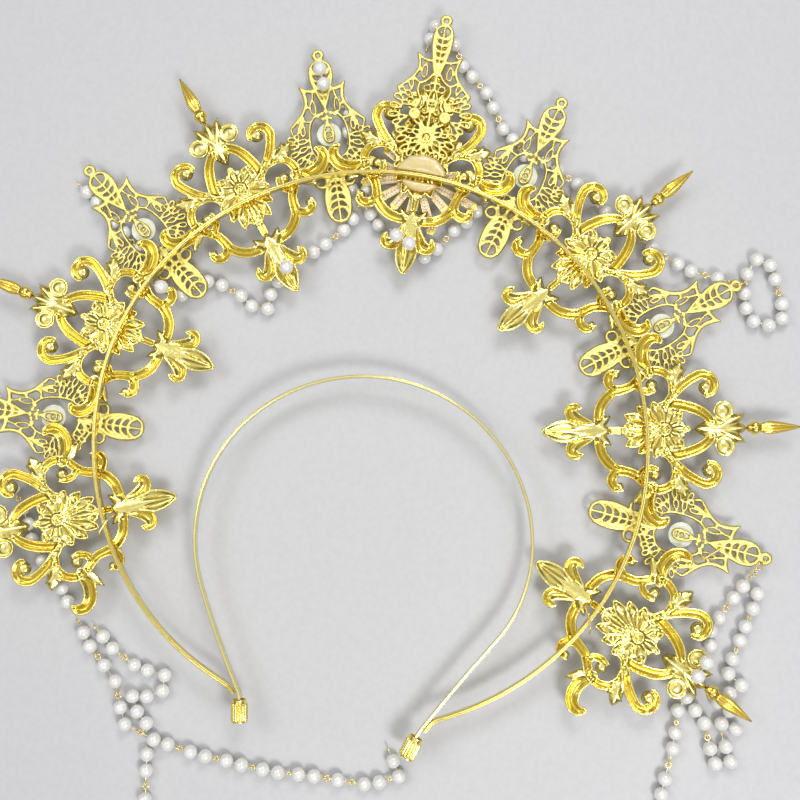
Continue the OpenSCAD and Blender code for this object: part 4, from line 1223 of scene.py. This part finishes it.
class CROWN_OT_sunburst(CrownStep):
    """Makes the sunburst's trays, its grains of gold and its stones"""

    bl_idname = "crown.sunburst"
    bl_label = "Sunburst"

    def add_tray(self, bm, turn, length):
        """The tray of a ray, with its sunk floor."""
        shoulder = length - 1.4
        outline = [(TRAY_START, -1.5), (shoulder, -1.9), (length, 0), (shoulder, 1.9),
                   (TRAY_START, 1.5)]
        verts = [bm.verts.new(turn @ Vector((x, y, TRAY_BASE))) for x, y in outline]
        grown = bmesh.ops.extrude_face_region(bm, geom=[bm.faces.new(verts)])["geom"]
        bmesh.ops.translate(bm, vec=(0, 0, TRAY_RISE), verts=only(BMVert, grown))
        for inset, sunk in ((0.28, 0.0), (0.05, -0.42)):
            bmesh.ops.inset_region(bm, faces=only(BMFace, grown), thickness=inset, depth=sunk)

    def execute(self, context):
        middle = at(*SUNBURST)
        gold, stones = bmesh.new(), bmesh.new()
        for angle, length in RAYS:
            turn = middle @ about("Z", angle)
            self.add_tray(gold, turn, length)
            for i in range(int((length - 8.4) / STONE_STEP)):
                reach = STONE_START + STONE_STEP * i
                for side in (-STONE_SIDE, STONE_SIDE):
                    bmesh.ops.create_cone(
                        stones, cap_ends=True, segments=8, radius1=0.68, radius2=0.36, depth=0.4,
                        matrix=turn @ at(reach, side, STONE_HEIGHT),
                    )
                # A grain of gold between this pair of stones and the next
                grain = turn @ at(reach + STONE_STEP / 2, 0, STONE_HEIGHT)
                bmesh.ops.create_icosphere(gold, subdivisions=1, radius=0.3, matrix=grain)
        base = middle @ at(0, 0, DISC_BASE)
        disc = bmesh.ops.create_circle(
            gold, cap_ends=False, segments=64, radius=DISC_RADIUS, matrix=base
        )["verts"]
        rim = edges_of(disc)
        for lift, shrink in DISC_STEPS:
            ring, rim = extrude_ring(gold, rim)
            bmesh.ops.translate(gold, vec=(0, 0, lift), verts=ring)
            bmesh.ops.scale(gold, vec=(shrink, shrink, 1), space=middle.inverted(), verts=ring)
        close_up(gold, 30)
        material = gilt("sunburst_gilding", self.colours.gold, DEEP["sunburst"], 0.26, 0.06)
        add_shape(gold, material, "sunburst_trays", "gold", "sunburst")
        close_up(stones, 20)
        material = small_stones("sunburst_stone", self.colours.stone)
        add_shape(stones, material, "sunburst_pave", "stone", "sunburst_stones")
        return {"FINISHED"}


class CROWN_OT_glue(CrownStep):
    """Pours the glue behind the top ornament, outside and inside the hoop"""

    bl_idname = "crown.glue"
    bl_label = "Glue"

    def execute(self, context):
        x, y, _heading = HOOP[0]
        whole = bmesh.new()
        for top, strokes in GLUE:
            pattern = smooth_pattern([("dome", 0.0, 1.0, strokes)])
            bm = stamped_sheet(pattern, GLUE_REACH, 0.5, top)
            mesh = bpy.data.meshes.new("glue_part")
            bm.to_mesh(mesh)
            bm.free()
            whole.from_mesh(mesh)
            bpy.data.meshes.remove(mesh)
        bmesh.ops.translate(whole, vec=(x, y, 0), verts=whole.verts)
        material = cured_glue("glue_drop", self.colours.glue)
        give_wall(add_shape(whole, material, "glue_drops", "glue", "glue_pad"), 0.3 * MM)
        return {"FINISHED"}


class CROWN_OT_strings(CrownStep):
    """Threads the pearls on their pins"""

    bl_idname = "crown.strings"
    bl_label = "Strings of pearls"

    def add_pearls(self, string, node, spots, material):
        """The pearls of one string."""
        bm = bmesh.new()
        for spot in spots:
            add_pearl(bm, spot, self.sizes.pearl / MM / 2)
        close_up(bm, 80)
        add_shape(bm, material, f"pearls_{string}", "pearl", node)

    def execute(self, context):
        pearl = pearl_coat("pearl_coat", tint(self.colours.pearl, 0.9))
        pin = gilt("pin_gilding", *GILDINGS["pin"], 0.25, 0.02)
        for string, spots in STRINGS.items():
            self.add_pearls(string, f"string_{string}_pearls", spots, pearl)
            dress(f"string_{string}_pins", pin)
        for string, (height, spots) in LINKED.items():
            spots = [(*spot, height) for spot in spots]
            self.add_pearls(string, f"string_{string}", spots, pearl)
            bm = bmesh.new()
            for start, end in zip(spots, spots[1:]):
                add_links(bm, Vector(start), Vector(end), self.sizes.pearl / MM / 2)
            bmesh.ops.recalc_face_normals(bm, faces=bm.faces)
            for face in bm.faces:
                face.smooth = len(face.verts) == 4
            add_shape(bm, pin, f"links_{string}", "pale_gold")
        return {"FINISHED"}


class CROWN_OT_ties(CrownStep):
    """Finishes the wire ties and the hanging rings"""

    bl_idname = "crown.ties"
    bl_label = "Ties and rings"

    def execute(self, context):
        dress("tie_wires", gilt("tie_gilding", *GILDINGS["tie"], 0.22, 0.02))
        dress("jump_rings", gilt("ring_gilding", *GILDINGS["ring"], 0.2, 0.02))
        return {"FINISHED"}


STEPS = (
    CROWN_OT_stage, CROWN_OT_strips, CROWN_OT_ferrules, CROWN_OT_crosses, CROWN_OT_spikes,
    CROWN_OT_filigree, CROWN_OT_crest, CROWN_OT_half_pearls, CROWN_OT_sunburst, CROWN_OT_glue,
    CROWN_OT_strings, CROWN_OT_ties,
)


class CROWN_PT_panel(bpy.types.Panel):
    """The crown's settings and steps"""

    bl_idname = "CROWN_PT_panel"
    bl_label = "Halo crown"
    bl_space_type = "VIEW_3D"
    bl_region_type = "UI"
    bl_category = "Crown"

    def draw(self, context):
        for group in (context.scene.crown_sizes, context.scene.crown_colours):
            box = self.layout.box()
            for key in group.__annotations__:
                box.prop(group, key)
        for step in STEPS:
            self.layout.operator(step.bl_idname)


CLASSES = (CrownSizes, CrownColours, *STEPS, CROWN_PT_panel)


def register():
    for cls in CLASSES:
        bpy.utils.register_class(cls)
    bpy.types.Scene.crown_sizes = PointerProperty(type=CrownSizes)
    bpy.types.Scene.crown_colours = PointerProperty(type=CrownColours)


def unregister():
    del bpy.types.Scene.crown_colours
    del bpy.types.Scene.crown_sizes
    for cls in reversed(CLASSES):
        bpy.utils.unregister_class(cls)


def main():
    """Builds the whole crown."""
    register()
    for step in STEPS:
        group, name = step.bl_idname.split(".")
        getattr(getattr(bpy.ops, group), name)()


if __name__ == "__main__":
    main()
